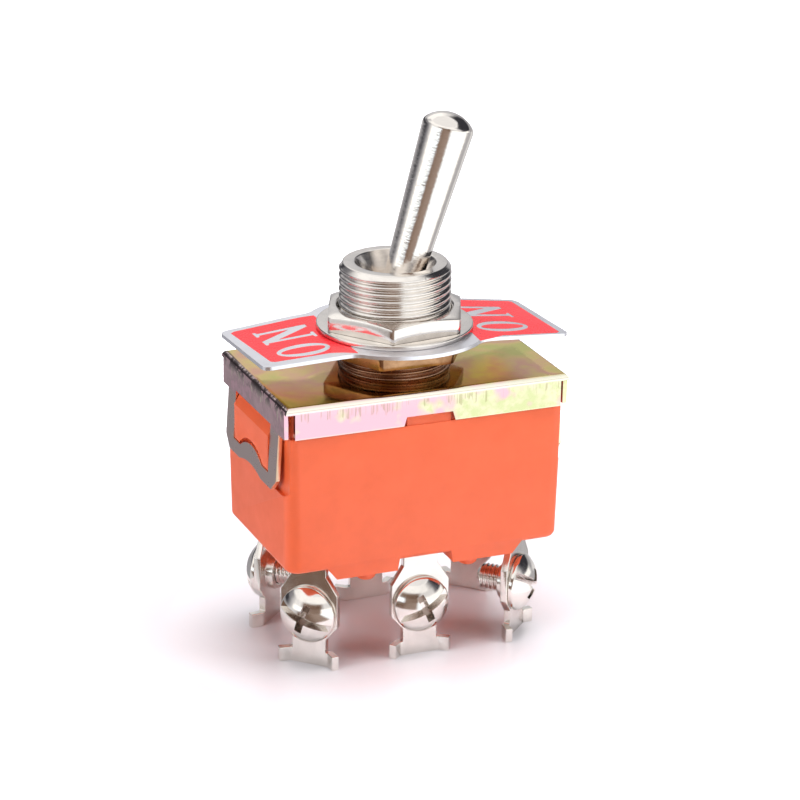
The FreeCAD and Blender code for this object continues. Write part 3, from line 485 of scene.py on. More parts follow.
def passivated_finish(settings):
    """Yellow passivated steel, whose film changes from side to side, with marks under the bends, a painted
    highlight on the bends and a painted brown reflection round the bushing.
    """
    material, shader, vector = new_surface("Passivated steel")
    drift = noise(vector, 0.085, 2.0, 0.5, 0.8)
    film = maths("MULTIPLY_ADD", noise(vector, 0.5, 3.0, 0.6), 0.16,
                 maths("MULTIPLY", drift, 0.84))
    fine = maths("MULTIPLY_ADD", noise(vector, 0.9, 2.0, 0.6), 0.35,
                 maths("MULTIPLY", drift, 0.65))
    top = ramp(film, [
        (0.36, settings.olive), (0.43, settings.gold), (0.5, settings.rose), (0.56, settings.gold),
        (0.64, settings.olive)])
    flat = vector_maths("MULTIPLY", vector, (1.0, 1.0, 0.0))
    around = length_of(flat)
    # Painted reflection: the top turns brown towards the bushing, as if it mirrored the dark plate and nuts.
    ring = spread(maths("MULTIPLY_ADD", film, 9.0, around), 16.5, 11.5, 0.0, 0.4, smooth=True)
    top = mix_colour(ring, top, settings.bronze)
    spot = split(vector)
    skirt = ramp(fine, [(0.4, settings.green), (0.47, settings.pale), (0.58, settings.green)])
    blush = noise(vector_maths("ADD", vector, (31.0, 7.0, 0.0)), 0.3, 2.0, 0.6)
    blush = spread(maths("MULTIPLY_ADD", spot["X"], -0.012, blush), 0.4, 0.54)
    skirt = mix_colour(blush, skirt, settings.pink)
    ends = ramp(fine, [
        (0.4, settings.mauve), (0.5, shaded(settings.mauve, 0.8)), (0.55, settings.pink),
        (0.62, settings.mauve)])
    facing = split(add(shader.id_data, "ShaderNodeTexCoord").outputs["Normal"])
    sideways = maths("ABSOLUTE", facing["X"])
    level = spread(maths("ABSOLUTE", facing["Z"]), 0.88, 0.98)
    bend = spread(maths("ABSOLUTE", maths("SUBTRACT", facing["Z"], 0.5)), 0.48, 0.3)
    end = spread(sideways, 0.4, 0.9)
    # Painted highlight on the bends: pale cream-white where the sheet faces halfway up.
    tone = mix_colour(maths("MULTIPLY", bend, 0.85), skirt, paint(252, 248, 232))
    tone = mix_colour(level, tone, top)
    tone = mix_colour(end, tone, ends)
    skirt_low = (COVER_HIGH.z - settings.skirt) / MM
    loops = spread(spot["Z"], skirt_low + 0.2, skirt_low - 0.2)
    tone = mix_colour(maths("MULTIPLY", loops, end), tone, settings.loop)
    cut = maths("MULTIPLY", loops, maths("SUBTRACT", 1.0, end))
    under = spread(facing["Z"], -0.5, -0.8)
    tone = mix_colour(maths("MAXIMUM", cut, under), tone, settings.shorn)
    marks = bend_marks(vector, spot, COVER_HIGH.z / MM)
    dents = maths("MULTIPLY", marks, maths("SUBTRACT", 1.0, loops))
    tone = mix_colour(maths("MULTIPLY", dents, maths("MULTIPLY_ADD", end, -0.42, 0.42)),
                      tone, paint(150, 138, 96))
    tone = mix_colour(product(dents, end, 0.8), tone, settings.shorn)
    upright = vector_maths("MULTIPLY", vector, (1.0, 1.0, 0.6))
    burnt = spread(noise(upright, 1.3, 3.0, 0.6), 0.46, 0.52)
    near_bend = spread(spot["Z"], COVER_HIGH.z / MM - 1.5, COVER_HIGH.z / MM - 0.6)
    burnt = product(burnt, near_bend, spread(sideways, 0.15, 0.5))
    tone = mix_colour(maths("MULTIPLY", burnt, 0.85), tone, settings.burnt)
    gloss = use_group(handling_group(), Vector=vector, Scale=0.3, Clean=0.06, Dull=0.12)
    rough = maths("MULTIPLY_ADD", maths("MAXIMUM", burnt, loops), 0.2, gloss["Roughness"])
    feed(shader, Base_Color=tone, Roughness=rough)
    grain = use_group(scratch_group(), Vector=vector, Stretch=(0.1, 1.0, 0.1), Scale=1.2)["Lines"]
    raise_surface(shader, maths("SUBTRACT", grain, dents), 0.25, mm(0.02))
    shader.inputs["Metallic"].default_value = 1.0
    return material


def fibre_finish(settings):
    """Pressed fibre sheet with short crossing fibres."""
    material, shader, vector = new_surface("Fibre sheet")
    one = use_group(scratch_group(), Vector=vector, Stretch=(0.2, 1.0, 1.0), Scale=3.5)["Lines"]
    two = use_group(scratch_group(), Vector=vector, Stretch=(1.0, 0.2, 1.0), Scale=3.5)["Lines"]
    weave = maths("MAXIMUM", one, two)
    tone = ramp(weave, [(0.35, shaded(settings.gasket, 0.6)), (0.7, settings.gasket)])
    feed(shader, Base_Color=tone)
    shader.inputs["Roughness"].default_value = 0.75
    raise_surface(shader, weave, 0.5, mm(0.03))
    return material


def print_finish(settings):
    """Screen-printed enamel: even, glossy, with a faint mesh ripple."""
    material, shader, vector = new_surface("Red print")
    cloud = noise(vector, 0.5, 3.0, 0.5)
    tone = mix_colour(spread(cloud, 0.35, 0.7), settings.red, shaded(settings.red, 0.92))
    gloss = use_group(handling_group(), Vector=vector, Scale=0.6, Clean=0.22, Dull=0.32)
    feed(shader, Base_Color=tone, Roughness=gloss["Roughness"])
    shader.inputs["Specular IOR Level"].default_value = 0.35
    raise_surface(shader, noise(vector, 7.0, 1.0), 0.15, mm(0.01))
    return material


def painted_shade_where(material, share, colour, dull):
    """Paint shade into a metal: darken it towards a colour and dull it by a share that a node gives."""
    shader = material.node_tree.nodes["Principled BSDF"]
    tone = shader.inputs["Base Color"].links[0].from_socket
    gloss = shader.inputs["Roughness"].links[0].from_socket
    feed(shader, Base_Color=mix_colour(share, tone, colour),
         Roughness=maths("MULTIPLY_ADD", share, dull, gloss))
    return material


def screw_finish(nickel, stain):
    """Nickel plate with painted shade down in the recess of a screw's head: darker and duller there."""
    material = metal_finish("Screw nickel", nickel, stain, 0.07, 0.16, 0.2, (1.0, 1.0, 1.0))
    sunk = add(material.node_tree, "ShaderNodeAttribute", attribute_name="recess").outputs["Fac"]
    share = maths("MULTIPLY", sunk, 0.75)
    # paint(120, 92, 70) is the painted shade in the recess, laid on by the recess attribute
    return painted_shade_where(material, share, paint(120, 92, 70), 0.3)


def bushing_finish(nickel, stain):
    """Nickel plate with painted shade and a painted reflection of the gold cover, brown below the label plate."""
    material = metal_finish("Bushing nickel", nickel, stain, 0.12, 0.22, 0.25, (0.2, 0.2, 2.0))
    height = split(object_place(material.node_tree))["Z"]
    share = spread(height, PLATE_LOW.z, PLATE_LOW.z - mm(0.6), 0.0, 0.85)
    # paint(150, 100, 62) is the painted shade and reflection below the plate
    return painted_shade_where(material, share, paint(150, 100, 62), 0.1)


def make_finishes(settings):
    """Every finish by its name; made once and looked up afterwards."""
    nickel = settings.terminals.nickel
    stain = shaded(nickel, 0.62)
    pivot = tuple(LEVER_PIVOT)
    return {
        "housing": moulding_finish("Orange moulding", settings.housing.colour, 0.3, mm(0.02)),
        "dark": moulding_finish("Black moulding", settings.housing.dark, 0.4, mm(0.03)),
        "cover": passivated_finish(settings.cover),
        "fibre": fibre_finish(settings.cover),
        "bushing": bushing_finish(nickel, stain),
        # The lower nut's brown is painted shade under the plate and a painted reflection of the gold cover.
        "lower_nut": metal_finish("Stained nickel", paint(190, 148, 112), paint(120, 78, 48), 0.14, 0.26,
                                  0.3, (1.0, 1.0, 0.15), 0.8),
        "nut": metal_finish("Nut nickel", nickel, stain, 0.1, 0.2, 0.3, (1.0, 1.0, 0.15)),
        "washer": metal_finish("Washer nickel", nickel, stain, 0.16, 0.26, 0.3, (0.3, 1.0, 1.0)),
        "lever": metal_finish("Lever plate", shaded(nickel, 1.02), stain, 0.08, 0.14, 1.0, (1.5, 1.5, 4.0),
                              0.12, (0.0, settings.lever.lean, 0.0), pivot, 1.0, mm(0.04)),
        "terminal": metal_finish("Terminal nickel", nickel, stain, 0.14, 0.26, 0.3, (1.0, 1.0, 0.2)),
        "screw": screw_finish(nickel, stain),
        "plate": metal_finish("Bright aluminium", settings.plate.metal, shaded(settings.plate.metal, 0.8),
                              0.3, 0.42, 0.3, (0.06, 1.0, 1.0)),
        "print": print_finish(settings.plate),
        "spring": metal_finish("Spring steel", paint(170, 172, 178), paint(110, 105, 100), 0.2, 0.34),
        "brass": metal_finish("Contact brass", paint(226, 190, 110), paint(150, 104, 52), 0.2, 0.36),
        "silver": metal_finish("Contact silver", paint(236, 234, 230), paint(160, 150, 140), 0.16, 0.3),
    }


FINISHES = {}


def finish_named(name):
    if not FINISHES:
        FINISHES.update(make_finishes(bpy.context.scene.toggle_switch))
    return FINISHES[name]


# Mesh helpers

def softened(points, radius, steps=3):
    """The corners of an open outline of (radius, height) points, rounded."""
    rounded = [points[0]]
    for before, corner, after in zip(points, points[1:], points[2:]):
        corner = Vector(corner)
        to_before = Vector(before) - corner
        to_after = Vector(after) - corner
        shortest = min(to_before.length, to_after.length)
        if shortest < 1e-9 or to_before.angle(to_after) > math.radians(160):
            rounded.append(tuple(corner))
            continue
        cut = min(radius, to_before.length * 0.45, to_after.length * 0.45)
        start = corner + to_before.normalized() * cut
        end = corner + to_after.normalized() * cut
        for step in range(steps + 1):
            share = step / steps
            bend = start.lerp(corner, share).lerp(corner.lerp(end, share), share)
            rounded.append(tuple(bend))
    rounded.append(points[-1])
    return rounded


def arc(centre, radius, start, end, steps):
    """Points on an arc about a (radius, height) centre, between two angles in degrees."""
    turns = [math.radians(start + (end - start) * step / steps) for step in range(steps + 1)]
    return [(centre[0] + radius * math.cos(t), centre[1] + radius * math.sin(t)) for t in turns]


def turned(profile, segments, closed=False):
    """A mesh turned about Z from (radius, height) points. A closed profile joins end to start."""
    mesh = bmesh.new()
    rings = []
    for radius, height in profile:
        if radius < 1e-8:
            rings.append([mesh.verts.new((0, 0, height))])
            continue
        turns = [2 * math.pi * step / segments for step in range(segments)]
        rings.append([mesh.verts.new((radius * math.cos(t), radius * math.sin(t), height)) for t in turns])
    pairs = list(zip(rings, rings[1:]))
    if closed:
        pairs.append((rings[-1], rings[0]))
    for lower, upper in pairs:
        for step in range(segments):
            after = (step + 1) % segments
            corners = [lower[step % len(lower)], lower[after % len(lower)],
                       upper[after % len(upper)], upper[step % len(upper)]]
            corners = [c for index, c in enumerate(corners) if c not in corners[:index]]
            if len(corners) > 2:
                mesh.faces.new(corners)
    bmesh.ops.recalc_face_normals(mesh, faces=mesh.faces)
    return mesh


def flat_piece(loops, low, high):
    """A sheet between two heights from an outer loop and its holes, as (x, y) points."""
    mesh = bmesh.new()
    edges = []
    for loop in loops:
        corners = [mesh.verts.new((x, y, low)) for x, y in loop]
        edges += [mesh.edges.new((a, b)) for a, b in zip(corners, corners[1:] + corners[:1])]
    filled = bmesh.ops.triangle_fill(mesh, use_beauty=True, use_dissolve=False, edges=edges)
    faces = [item for item in filled["geom"] if isinstance(item, bmesh.types.BMFace)]
    raised = bmesh.ops.extrude_face_region(mesh, geom=faces, use_keep_orig=True)["geom"]
    upper = [item for item in raised if isinstance(item, bmesh.types.BMVert)]
    bmesh.ops.translate(mesh, verts=upper, vec=(0, 0, high - low))
    bmesh.ops.recalc_face_normals(mesh, faces=mesh.faces)
    return mesh


def settle_order(mesh):
    """Store the parts of a mesh in an order that only their places decide."""
    corners = sorted(mesh.verts, key=lambda corner: [round(value / mm(0.0001)) for value in corner.co])
    for step, corner in enumerate(corners):
        corner.index = step
    for parts in (mesh.edges, mesh.faces):
        ranked = sorted(parts, key=lambda part: sorted(corner.index for corner in part.verts))
        for step, part in enumerate(ranked):
            part.index = step
    for parts in (mesh.verts, mesh.edges, mesh.faces):
        parts.sort()


def new_piece(name, mesh, finish, sharp=35.0):
    """An object from a bmesh, smooth but for its sharp edges."""
    data = bpy.data.meshes.new(name)
    mesh.to_mesh(data)
    mesh.free()
    data.shade_smooth()
    data.set_sharp_from_angle(angle=math.radians(sharp))
    piece = bpy.data.objects.new(name, data)
    bpy.context.scene.collection.objects.link(piece)
    if finish:
        data.materials.append(finish_named(finish))
    return piece


def round_edges(piece, width, segments=2, angle=35.0):
    bevel = piece.modifiers.new("Edges", "BEVEL")
    bevel.width = width
    bevel.segments = segments
    bevel.limit_method = "ANGLE"
    bevel.angle_limit = math.radians(angle)
    bevel.harden_normals = True
    return piece


def as_plain_mesh(piece):
    """Give an object the mesh that its modifiers make, and take them off."""
    view = bpy.context.evaluated_depsgraph_get()
    made = bpy.data.meshes.new_from_object(piece.evaluated_get(view), preserve_all_data_layers=True,
                                           depsgraph=view)
    piece.modifiers.clear()
    piece.data = made
    made.name = piece.name
    return piece


def place(piece, slot, *nodes, body="frame"):
    """Let a finished piece ride on its body and stand for its CAD nodes."""
    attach(piece, body)
    if nodes:
        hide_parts(*nodes)
    return piece


def worked_copy(node, name, finish):
    """A merged copy of a CAD node, with flat areas joined up, ready for rounded edges."""
    mesh = bmesh.new()
    mesh.from_mesh(frame["nodes"][node].data)
    bmesh.ops.remove_doubles(mesh, verts=mesh.verts, dist=mm(0.001))
    bmesh.ops.dissolve_limit(mesh, angle_limit=math.radians(0.6), verts=mesh.verts, edges=mesh.edges)
    return new_piece(name, mesh, finish)


def dress_node(node, finish):
    """Give a CAD node that stays its finish."""
    shown = frame["nodes"][node]
    shown.data.materials.clear()
    shown.data.materials.append(finish_named(finish))


# Geometry trees

def end_tree(tree, geometry, given, result):
    """Make instances real, give them their finish and hand them on."""
    real = add(tree, "GeometryNodeRealizeInstances", {"Geometry": geometry})
    done = add(tree, "GeometryNodeSetMaterial", {"Geometry": real.outputs[0], "Material": given["Finish"]})
    tree.links.new(done.outputs[0], result["Geometry"])
    return tree


@group_named("Cut thread")
def thread_tree(name):
    """Cuts a helical thread into the part of a turned mesh that lies at the thread's radius."""
    tree, given, result = new_group(name, "GeometryNodeTree", [
        ("Geometry", "NodeSocketGeometry", None), ("Radius", "NodeSocketFloat", mm(6.0)),
        ("Depth", "NodeSocketFloat", mm(0.3)), ("Pitch", "NodeSocketFloat", mm(0.75)),
        ("Low", "NodeSocketFloat", 0.0), ("High", "NodeSocketFloat", mm(10.0)),
        ("Fade", "NodeSocketFloat", mm(0.5)), ("Finish", "NodeSocketMaterial", None)],
        [("Geometry", "NodeSocketGeometry")])
    place_now = add(tree, "GeometryNodeInputPosition").outputs[0]
    parts = split(place_now)
    flat = add(tree, "ShaderNodeCombineXYZ", {"X": parts["X"], "Y": parts["Y"]}).outputs[0]
    out = add(tree, "ShaderNodeVectorMath", {0: flat}, operation="NORMALIZE").outputs["Vector"]
    reach = length_of(flat)
    along = maths("SUBTRACT", maths("DIVIDE", parts["Z"], given["Pitch"]), turn_share(parts))
    wave = maths("COSINE", maths("MULTIPLY", along, 2 * math.pi))
    groove = maths("POWER", maths("MULTIPLY_ADD", wave, 0.5, 0.5), 1.25)
    low_end = maths("ADD", given["Low"], given["Fade"])
    high_start = maths("SUBTRACT", given["High"], given["Fade"])
    starts = spread(parts["Z"], given["Low"], low_end, smooth=True)
    ends = spread(parts["Z"], given["High"], high_start, smooth=True)
    inner = maths("MULTIPLY", given["Radius"], 0.86)
    outer = maths("MULTIPLY", given["Radius"], 0.93)
    threaded = spread(reach, inner, outer)
    inward = product(groove, starts, ends, threaded, given["Depth"], -1.0)
    move = add(tree, "ShaderNodeVectorMath", {0: out, "Scale": inward}, operation="SCALE")
    moved = {"Geometry": given["Geometry"], "Offset": move.outputs["Vector"]}
    cut = add(tree, "GeometryNodeSetPosition", moved)
    return end_tree(tree, cut.outputs[0], given, result)


@group_named("Set of screws")
def set_tree(name):
    """Sets one template object on each point of a mesh, turned by the point's attribute."""
    tree, given, result = new_group(name, "GeometryNodeTree", [
        ("Geometry", "NodeSocketGeometry", None), ("Template", "NodeSocketObject", None),
        ("Finish", "NodeSocketMaterial", None)], [("Geometry", "NodeSocketGeometry")])
    template = add(tree, "GeometryNodeObjectInfo", {"Object": given["Template"], "As Instance": True})
    turn = add(tree, "GeometryNodeInputNamedAttribute", {"Name": "turn"}, data_type="FLOAT_VECTOR")
    points = add(tree, "GeometryNodeMeshToPoints", {"Mesh": given["Geometry"]})
    rotation = add(tree, "FunctionNodeEulerToRotation", {0: turn.outputs["Attribute"]})
    copies = add(tree, "GeometryNodeInstanceOnPoints", {
        "Points": points.outputs[0], "Instance": template.outputs["Geometry"],
        "Rotation": rotation.outputs[0]})
    return end_tree(tree, copies.outputs[0], given, result)


def apply_tree(piece, tree, **values):
    """Run a geometry tree on a piece with named inputs, and keep the plain mesh."""
    modifier = piece.modifiers.new(tree.name, "NODES")
    modifier.node_group = tree
    sockets = {item.name: item.identifier for item in tree.interface.items_tree if item.in_out == "INPUT"}
    for name, value in values.items():
        modifier[sockets[name]] = value
    return as_plain_mesh(piece)


class Builder:
    """What the operators share: each builds its pieces from the switch's settings."""

    def execute(self, context):
        self.build(context.scene.toggle_switch)
        return {"FINISHED"}


# Housing and cover

class SWITCH_OT_housing(Builder, bpy.types.Operator):
    """Build the orange moulding with its latch blocks, lugs, barriers and studs"""
    bl_idname = "toggle_switch.housing"
    bl_label = "Housing"

    def build(self, switch):
        settings = switch.housing
        piece = worked_copy("housing", "housing_moulding", "housing")
        round_edges(piece, settings.edge, 3)
        place(piece, "orange_moulding", "housing")


class SWITCH_OT_cover(Builder, bpy.types.Operator):
    """Build the folded cover with its latch loops, and the fibre sheet under it"""
    bl_idname = "toggle_switch.cover"
    bl_label = "Cover and gasket"

    def build(self, switch):
        settings = switch.cover
        piece = worked_copy("cover_frame", "cover", "cover")
        skirt_low = COVER_HIGH.z - settings.skirt
        for corner in piece.data.vertices:
            below = max(skirt_low - corner.co.z, 0.0)
            corner.co.x += math.copysign(below * math.tan(settings.splay), corner.co.x)
        round_edges(piece, settings.edge, 2)
        place(piece, "passivated_steel", "cover_frame")
        dress_node("insulating_gasket", "fibre")


# Bushing, nuts and washer

def bushing_profile(settings):
    """From the neck inside, down round the flange and up the thread to the funnel's mouth."""
    mouth_radius = mm(4.75)
    mouth_top = BUSHING_LOW.z + mm(0.6)
    bore_radius = mm(3.5)
    bore_low = LEVER_PIVOT.z - mm(3.4)
    neck_height = LEVER_PIVOT.z + mm(1.7)
    top = BUSHING_HIGH.z
    flange_low = BUSHING_LOW.z
    flange_high = flange_low + settings.flange_thickness
    outside = softened([
        (mouth_radius, mouth_top), (mouth_radius, flange_low), (settings.flange_radius, flange_low),
        (settings.flange_radius, flange_high), (settings.thread_radius, flange_high)], mm(0.1))
    start = flange_high
    end = top - settings.chamfer
    steps = math.ceil((end - start) / (settings.pitch / 12))
    thread = [(settings.thread_radius, start + (end - start) * step / steps) for step in range(1, steps)]
    mouth = softened([
        (settings.thread_radius, end), (settings.thread_radius - settings.chamfer, top),
        (settings.funnel_radius, top), (settings.neck_radius, neck_height),
        (bore_radius, LEVER_PIVOT.z), (bore_radius, bore_low), (mouth_radius, mouth_top)],
        mm(0.12))
    return outside + thread + mouth


class SWITCH_OT_bushing(Builder, bpy.types.Operator):
    """Turn the bushing and cut its thread"""
    bl_idname = "toggle_switch.bushing"
    bl_label = "Bushing"

    def build(self, switch):
        settings = switch.bushing
        mesh = turned(bushing_profile(settings), switch.segments, closed=True)
        bmesh.ops.remove_doubles(mesh, verts=mesh.verts, dist=mm(0.0005))
        piece = new_piece("threaded_bushing", mesh, "bushing")
        apply_tree(piece, thread_tree(), Radius=settings.thread_radius, Depth=settings.thread_depth,
                   Pitch=settings.pitch, Low=COVER_HIGH.z, High=BUSHING_HIGH.z, Fade=mm(0.35),
                   Finish=finish_named("bushing"))
        piece.data.set_sharp_from_angle(angle=math.radians(60))
        place(piece, "nickel_plate", "bushing")


def nut_mesh(settings, low, high, angle, segments):
    """A hexagon nut whose upper corners are cut by a cone, as rings of one mesh."""
    flat = settings.across_flats / 2
    edge = settings.edge
    slope = math.tan(settings.chamfer)
    mesh = bmesh.new()
    rings = []
    inner = softened([
        (settings.bore_radius, low), (settings.bore_radius, high - mm(0.25)),
        (settings.bore_radius + mm(0.25), high), (settings.face_radius, high)], mm(0.05))

    def ring(spot):
        rings.append([mesh.verts.new(spot(2 * math.pi * step / segments)) for step in range(segments)])

    def hexagon(turn):
        """Distance from the axis to the side, with each corner slightly rounded."""
        wrapped = (turn - angle + math.pi / 6) % (math.pi / 3) - math.pi / 6
        side = math.pi / 6 - abs(wrapped)
        return min(flat / math.cos(side), flat / math.cos(math.pi / 6) - mm(0.1))

    for radius, height in inner:
        ring(lambda turn: (radius * math.cos(turn), radius * math.sin(turn), height))
    for inset, drop in ((edge, 0.0), (edge * 0.3, edge * 0.3), (0.0, edge)):
        def side(turn):
            radius = hexagon(turn) - inset
            height = high - max(radius + inset - settings.face_radius, 0) * slope - drop
            return (radius * math.cos(turn), radius * math.sin(turn), height)
        ring(side)
    for inset, rise in ((0.0, edge), (edge * 0.3, edge * 0.3), (edge, 0.0)):
        def foot(turn):
            radius = hexagon(turn) - inset
            return (radius * math.cos(turn), radius * math.sin(turn), low + rise)
        ring(foot)
    for lower, upper in zip(rings, rings[1:] + rings[:1]):
        for step in range(segments):
            after = (step + 1) % segments
            mesh.faces.new([lower[step], lower[after], upper[after], upper[step]])
    bmesh.ops.recalc_face_normals(mesh, faces=mesh.faces)
    return mesh


class SWITCH_OT_nuts(Builder, bpy.types.Operator):
    """Build the two hexagon nuts and the flat washer"""
    bl_idname = "toggle_switch.nuts"
    bl_label = "Nuts and washer"

    def build(self, switch):
        settings = switch.nuts
        for node, angle, finish in (("upper_nut", settings.upper_angle, "nut"),
                                    ("lower_nut", settings.lower_angle, "lower_nut")):
            low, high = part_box(node)
            mesh = nut_mesh(settings, low.z, high.z, angle, 180)
            piece = new_piece("hexagon_" + node, mesh, finish, 30.0)
            place(piece, "nickel_plate", node)
        low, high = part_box("flat_washer")
        bore = settings.bore_radius
        middle = (bore, (low.z + high.z) / 2)
        outline = softened([
            middle, (bore, low.z), (high.x, low.z), (high.x, high.z), (bore, high.z), middle], mm(0.16), 4)
        washer = new_piece("stamped_washer", turned(outline[:-1], switch.segments, closed=True), "washer")
        place(washer, "nickel_plate", "flat_washer")


# Label plate

WING_BEND = mm(1.5)


def plate_drop(settings, x, y):
    """How far a wing has drooped and twisted at a spot, with a soft bend."""
    start = settings.flat_length / 2
    beyond = abs(x) - start
    slope = math.tan(settings.left_droop if x < 0 else settings.right_droop)
    slope += y * math.tan(settings.twist) / (PLATE_HIGH.x - start)
    if beyond <= -WING_BEND:
        return 0.0
    if beyond >= WING_BEND:
        return beyond * slope
    return (beyond + WING_BEND) ** 2 / (4 * WING_BEND) * slope


def droop(mesh, settings):
    """Let the wings of a flat mesh droop, cut finely enough for the bend and the twist."""
    start = settings.flat_length / 2
    bend = [start + WING_BEND * step / 4 for step in range(-4, 5)]
    wing = [start + WING_BEND + mm(step) for step in range(1, 8)]
    cuts = [((side * x, 0, 0), (1, 0, 0)) for side in (-1, 1) for x in bend + wing]
    cuts += [((0, mm(1.45) * step, 0), (0, 1, 0)) for step in range(-5, 6)]
    for spot, normal in cuts:
        whole = mesh.verts[:] + mesh.edges[:] + mesh.faces[:]
        bmesh.ops.bisect_plane(mesh, geom=whole, plane_co=spot, plane_no=normal)
    for corner in mesh.verts:
        corner.co.z -= plate_drop(settings, corner.co.x, corner.co.y)
    settle_order(mesh)


def plate_outline(settings):
    """The round plate with its two wings, as a loop of (x, y) points."""
    half = PLATE_HIGH.x
    y = settings.width / 2
    radius = settings.disc_radius
    meet = math.degrees(math.asin(y / radius))
    wing = arc((half - settings.corner, y - settings.corner), settings.corner, 0, 90, 6)
    neck_x = radius * math.cos(math.radians(meet))
    neck = softened([(half - settings.corner - mm(1), y), (neck_x, y),
                     arc((0, 0), radius, meet, 90, 8)[2]], settings.neck_round, 6)[1:-1]
    disc = arc((0, 0), radius, meet, 90, 24)[4:]
    quarter = wing + neck + disc
    loop = quarter + [(-x, y) for x, y in reversed(quarter[:-1])]
    return loop + [(x, -y) for x, y in reversed(loop)]


def ring_loop(x, y, length, width, steps=48):
    turns = [2 * math.pi * step / steps for step in range(steps)]
    return [(x + length / 2 * math.cos(t), y + width / 2 * math.sin(t)) for t in turns]


# The letter N on a 5.8 mm high body, read along +Y with its top towards -X
LETTER_N = [
    (0.0, 0.0), (1.60, 0.0), (1.60, 0.3), (1.12, 0.42), (1.12, 4.0), (3.36, 0.0), (4.10, 0.0),
    (4.10, 5.38), (4.58, 5.5), (4.58, 5.80), (2.98, 5.80), (2.98, 5.5), (3.46, 5.38), (3.46, 2.1),
    (1.42, 5.80), (0.0, 5.80), (0.0, 5.5), (0.5, 5.34), (0.5, 0.42), (0.0, 0.3)]


def letter_loops(settings, top_x, start_y):
    """The loops of the word ON: the ring of the O, its middle, and the N."""
    scale = settings.letter_height / mm(5.8)
    height = mm(5.8) * scale
    centre = top_x + height / 2
    width = mm(3.7) * scale
    outer = ring_loop(centre, start_y + width / 2, height, width)
    inner = ring_loop(centre, start_y + width / 2, height - mm(0.95) * scale, width - mm(1.9) * scale)
    gap = width + mm(1.45) * scale
    letter = [(top_x + height - mm(v) * scale, start_y + gap + mm(u) * scale) for u, v in LETTER_N]
    return [outer, inner, letter]


PRINT_PANELS = {
    "left": {
        "outline": [(-16.45, 5.75), (-16.0, 6.1), (-6.9, 6.1), (-6.9, -6.95), (-8.2, -6.2),
                    (-9.5, -5.75), (-15.6, -5.75), (-16.0, -5.4)],
        "word": (-14.6, -5.4),
    },
    "right": {
        "outline": [(16.45, 6.0), (16.1, 6.35), (6.6, 6.35), (7.2, 0.0), (6.6, -7.75), (8.3, -7.3),
                    (9.6, -6.7), (16.0, -6.7), (16.4, -6.3)],
        "word": (8.1, -5.4),
    },
}


class SWITCH_OT_label_plate(Builder, bpy.types.Operator):
    """Build the label plate and its two printed panels with the word ON left bare"""
    bl_idname = "toggle_switch.label_plate"
    bl_label = "Label plate"

    def build(self, switch):
        settings = switch.plate
        high = PLATE_HIGH.z
        hole = ring_loop(0, 0, 2 * switch.nuts.bore_radius, 2 * switch.nuts.bore_radius, 96)
        mesh = flat_piece([plate_outline(settings), hole], high - settings.thickness, high)
        droop(mesh, settings)
        plate = round_edges(new_piece("label_sheet", mesh, "plate", 30.0), mm(0.05), 2, 50.0)
        place(plate, "bright_aluminium", "label_plate")
        for side, panel in PRINT_PANELS.items():
            outline = [(mm(x), mm(y)) for x, y in panel["outline"]]
            top_x, start_y = panel["word"]
            loops = [outline] + letter_loops(settings, mm(top_x), mm(start_y))
            film = flat_piece(loops, high + mm(0.002), high + settings.film)
            droop(film, settings)
            place(new_piece("print_" + side, film, "print", 30.0), "bright_aluminium")


# Lever and what it carries

def lever_profile(settings):
    """Tang, ball, tapered handle and crown, from the lower end to the tip."""
    pivot = LEVER_PIVOT.z
    ball = settings.ball_radius
    root = settings.root_radius
    tang = mm(1.6)
    pin = mm(1.25)
    pin_low = pivot - mm(13.5)
    pin_high = pivot - mm(9.9)
    low_angle = -math.degrees(math.acos(tang / ball))
    high_angle = math.degrees(math.acos(root / ball))
    shoulder = pivot + settings.reach - settings.crown
    cap = settings.top_radius
    cap_ball = (cap ** 2 + settings.crown ** 2) / (2 * settings.crown)
    half_angle = math.degrees(math.asin(cap / cap_ball))
    low = pivot + ball * math.sin(math.radians(high_angle))
    handle = [(root + (cap - root) * step / 12, low + (shoulder - low) * step / 12)
              for step in range(1, 12)]
    foot = softened([(0, pin_low), (pin, pin_low), (pin, pin_high), (tang, pin_high),
                     (tang, pivot - mm(3.6))], mm(0.12))
    crown = arc((0, shoulder + settings.crown - cap_ball), cap_ball, 90 - half_angle, 90, 14)
    corner = softened([handle[-1], crown[0], crown[4]], settings.top_round, 8)[1:-1]
    return (foot + arc((0, pivot), ball, low_angle, high_angle, 24) + handle + corner + crown[4:-1]
            + [(0, pivot + settings.reach)])


def lean_matrix(angle):
    turn = Matrix.Rotation(angle, 4, "Y")
    return Matrix.Translation(LEVER_PIVOT) @ turn @ Matrix.Translation(-LEVER_PIVOT)


class SWITCH_OT_lever(Builder, bpy.types.Operator):
    """Turn the lever and finish the pin, yoke and springs that move with it"""
    bl_idname = "toggle_switch.lever"
    bl_label = "Lever"

    def build(self, switch):
        settings = switch.lever
        mesh = turned(lever_profile(settings), switch.segments)
        bmesh.ops.remove_doubles(mesh, verts=mesh.verts, dist=mm(0.0005))
        bmesh.ops.transform(mesh, matrix=lean_matrix(settings.lean), verts=mesh.verts)
        place(new_piece("lever_handle", mesh, "lever"), "lever_plate", "toggle_lever", body="lever")
        dress_node("pivot_pin", "spring")
        dress_node("lever_yoke", "dark")
        for pole in POLES:
            dress_node("plunger_spring_" + pole, "spring")
            dress_node("plunger_" + pole, "dark")


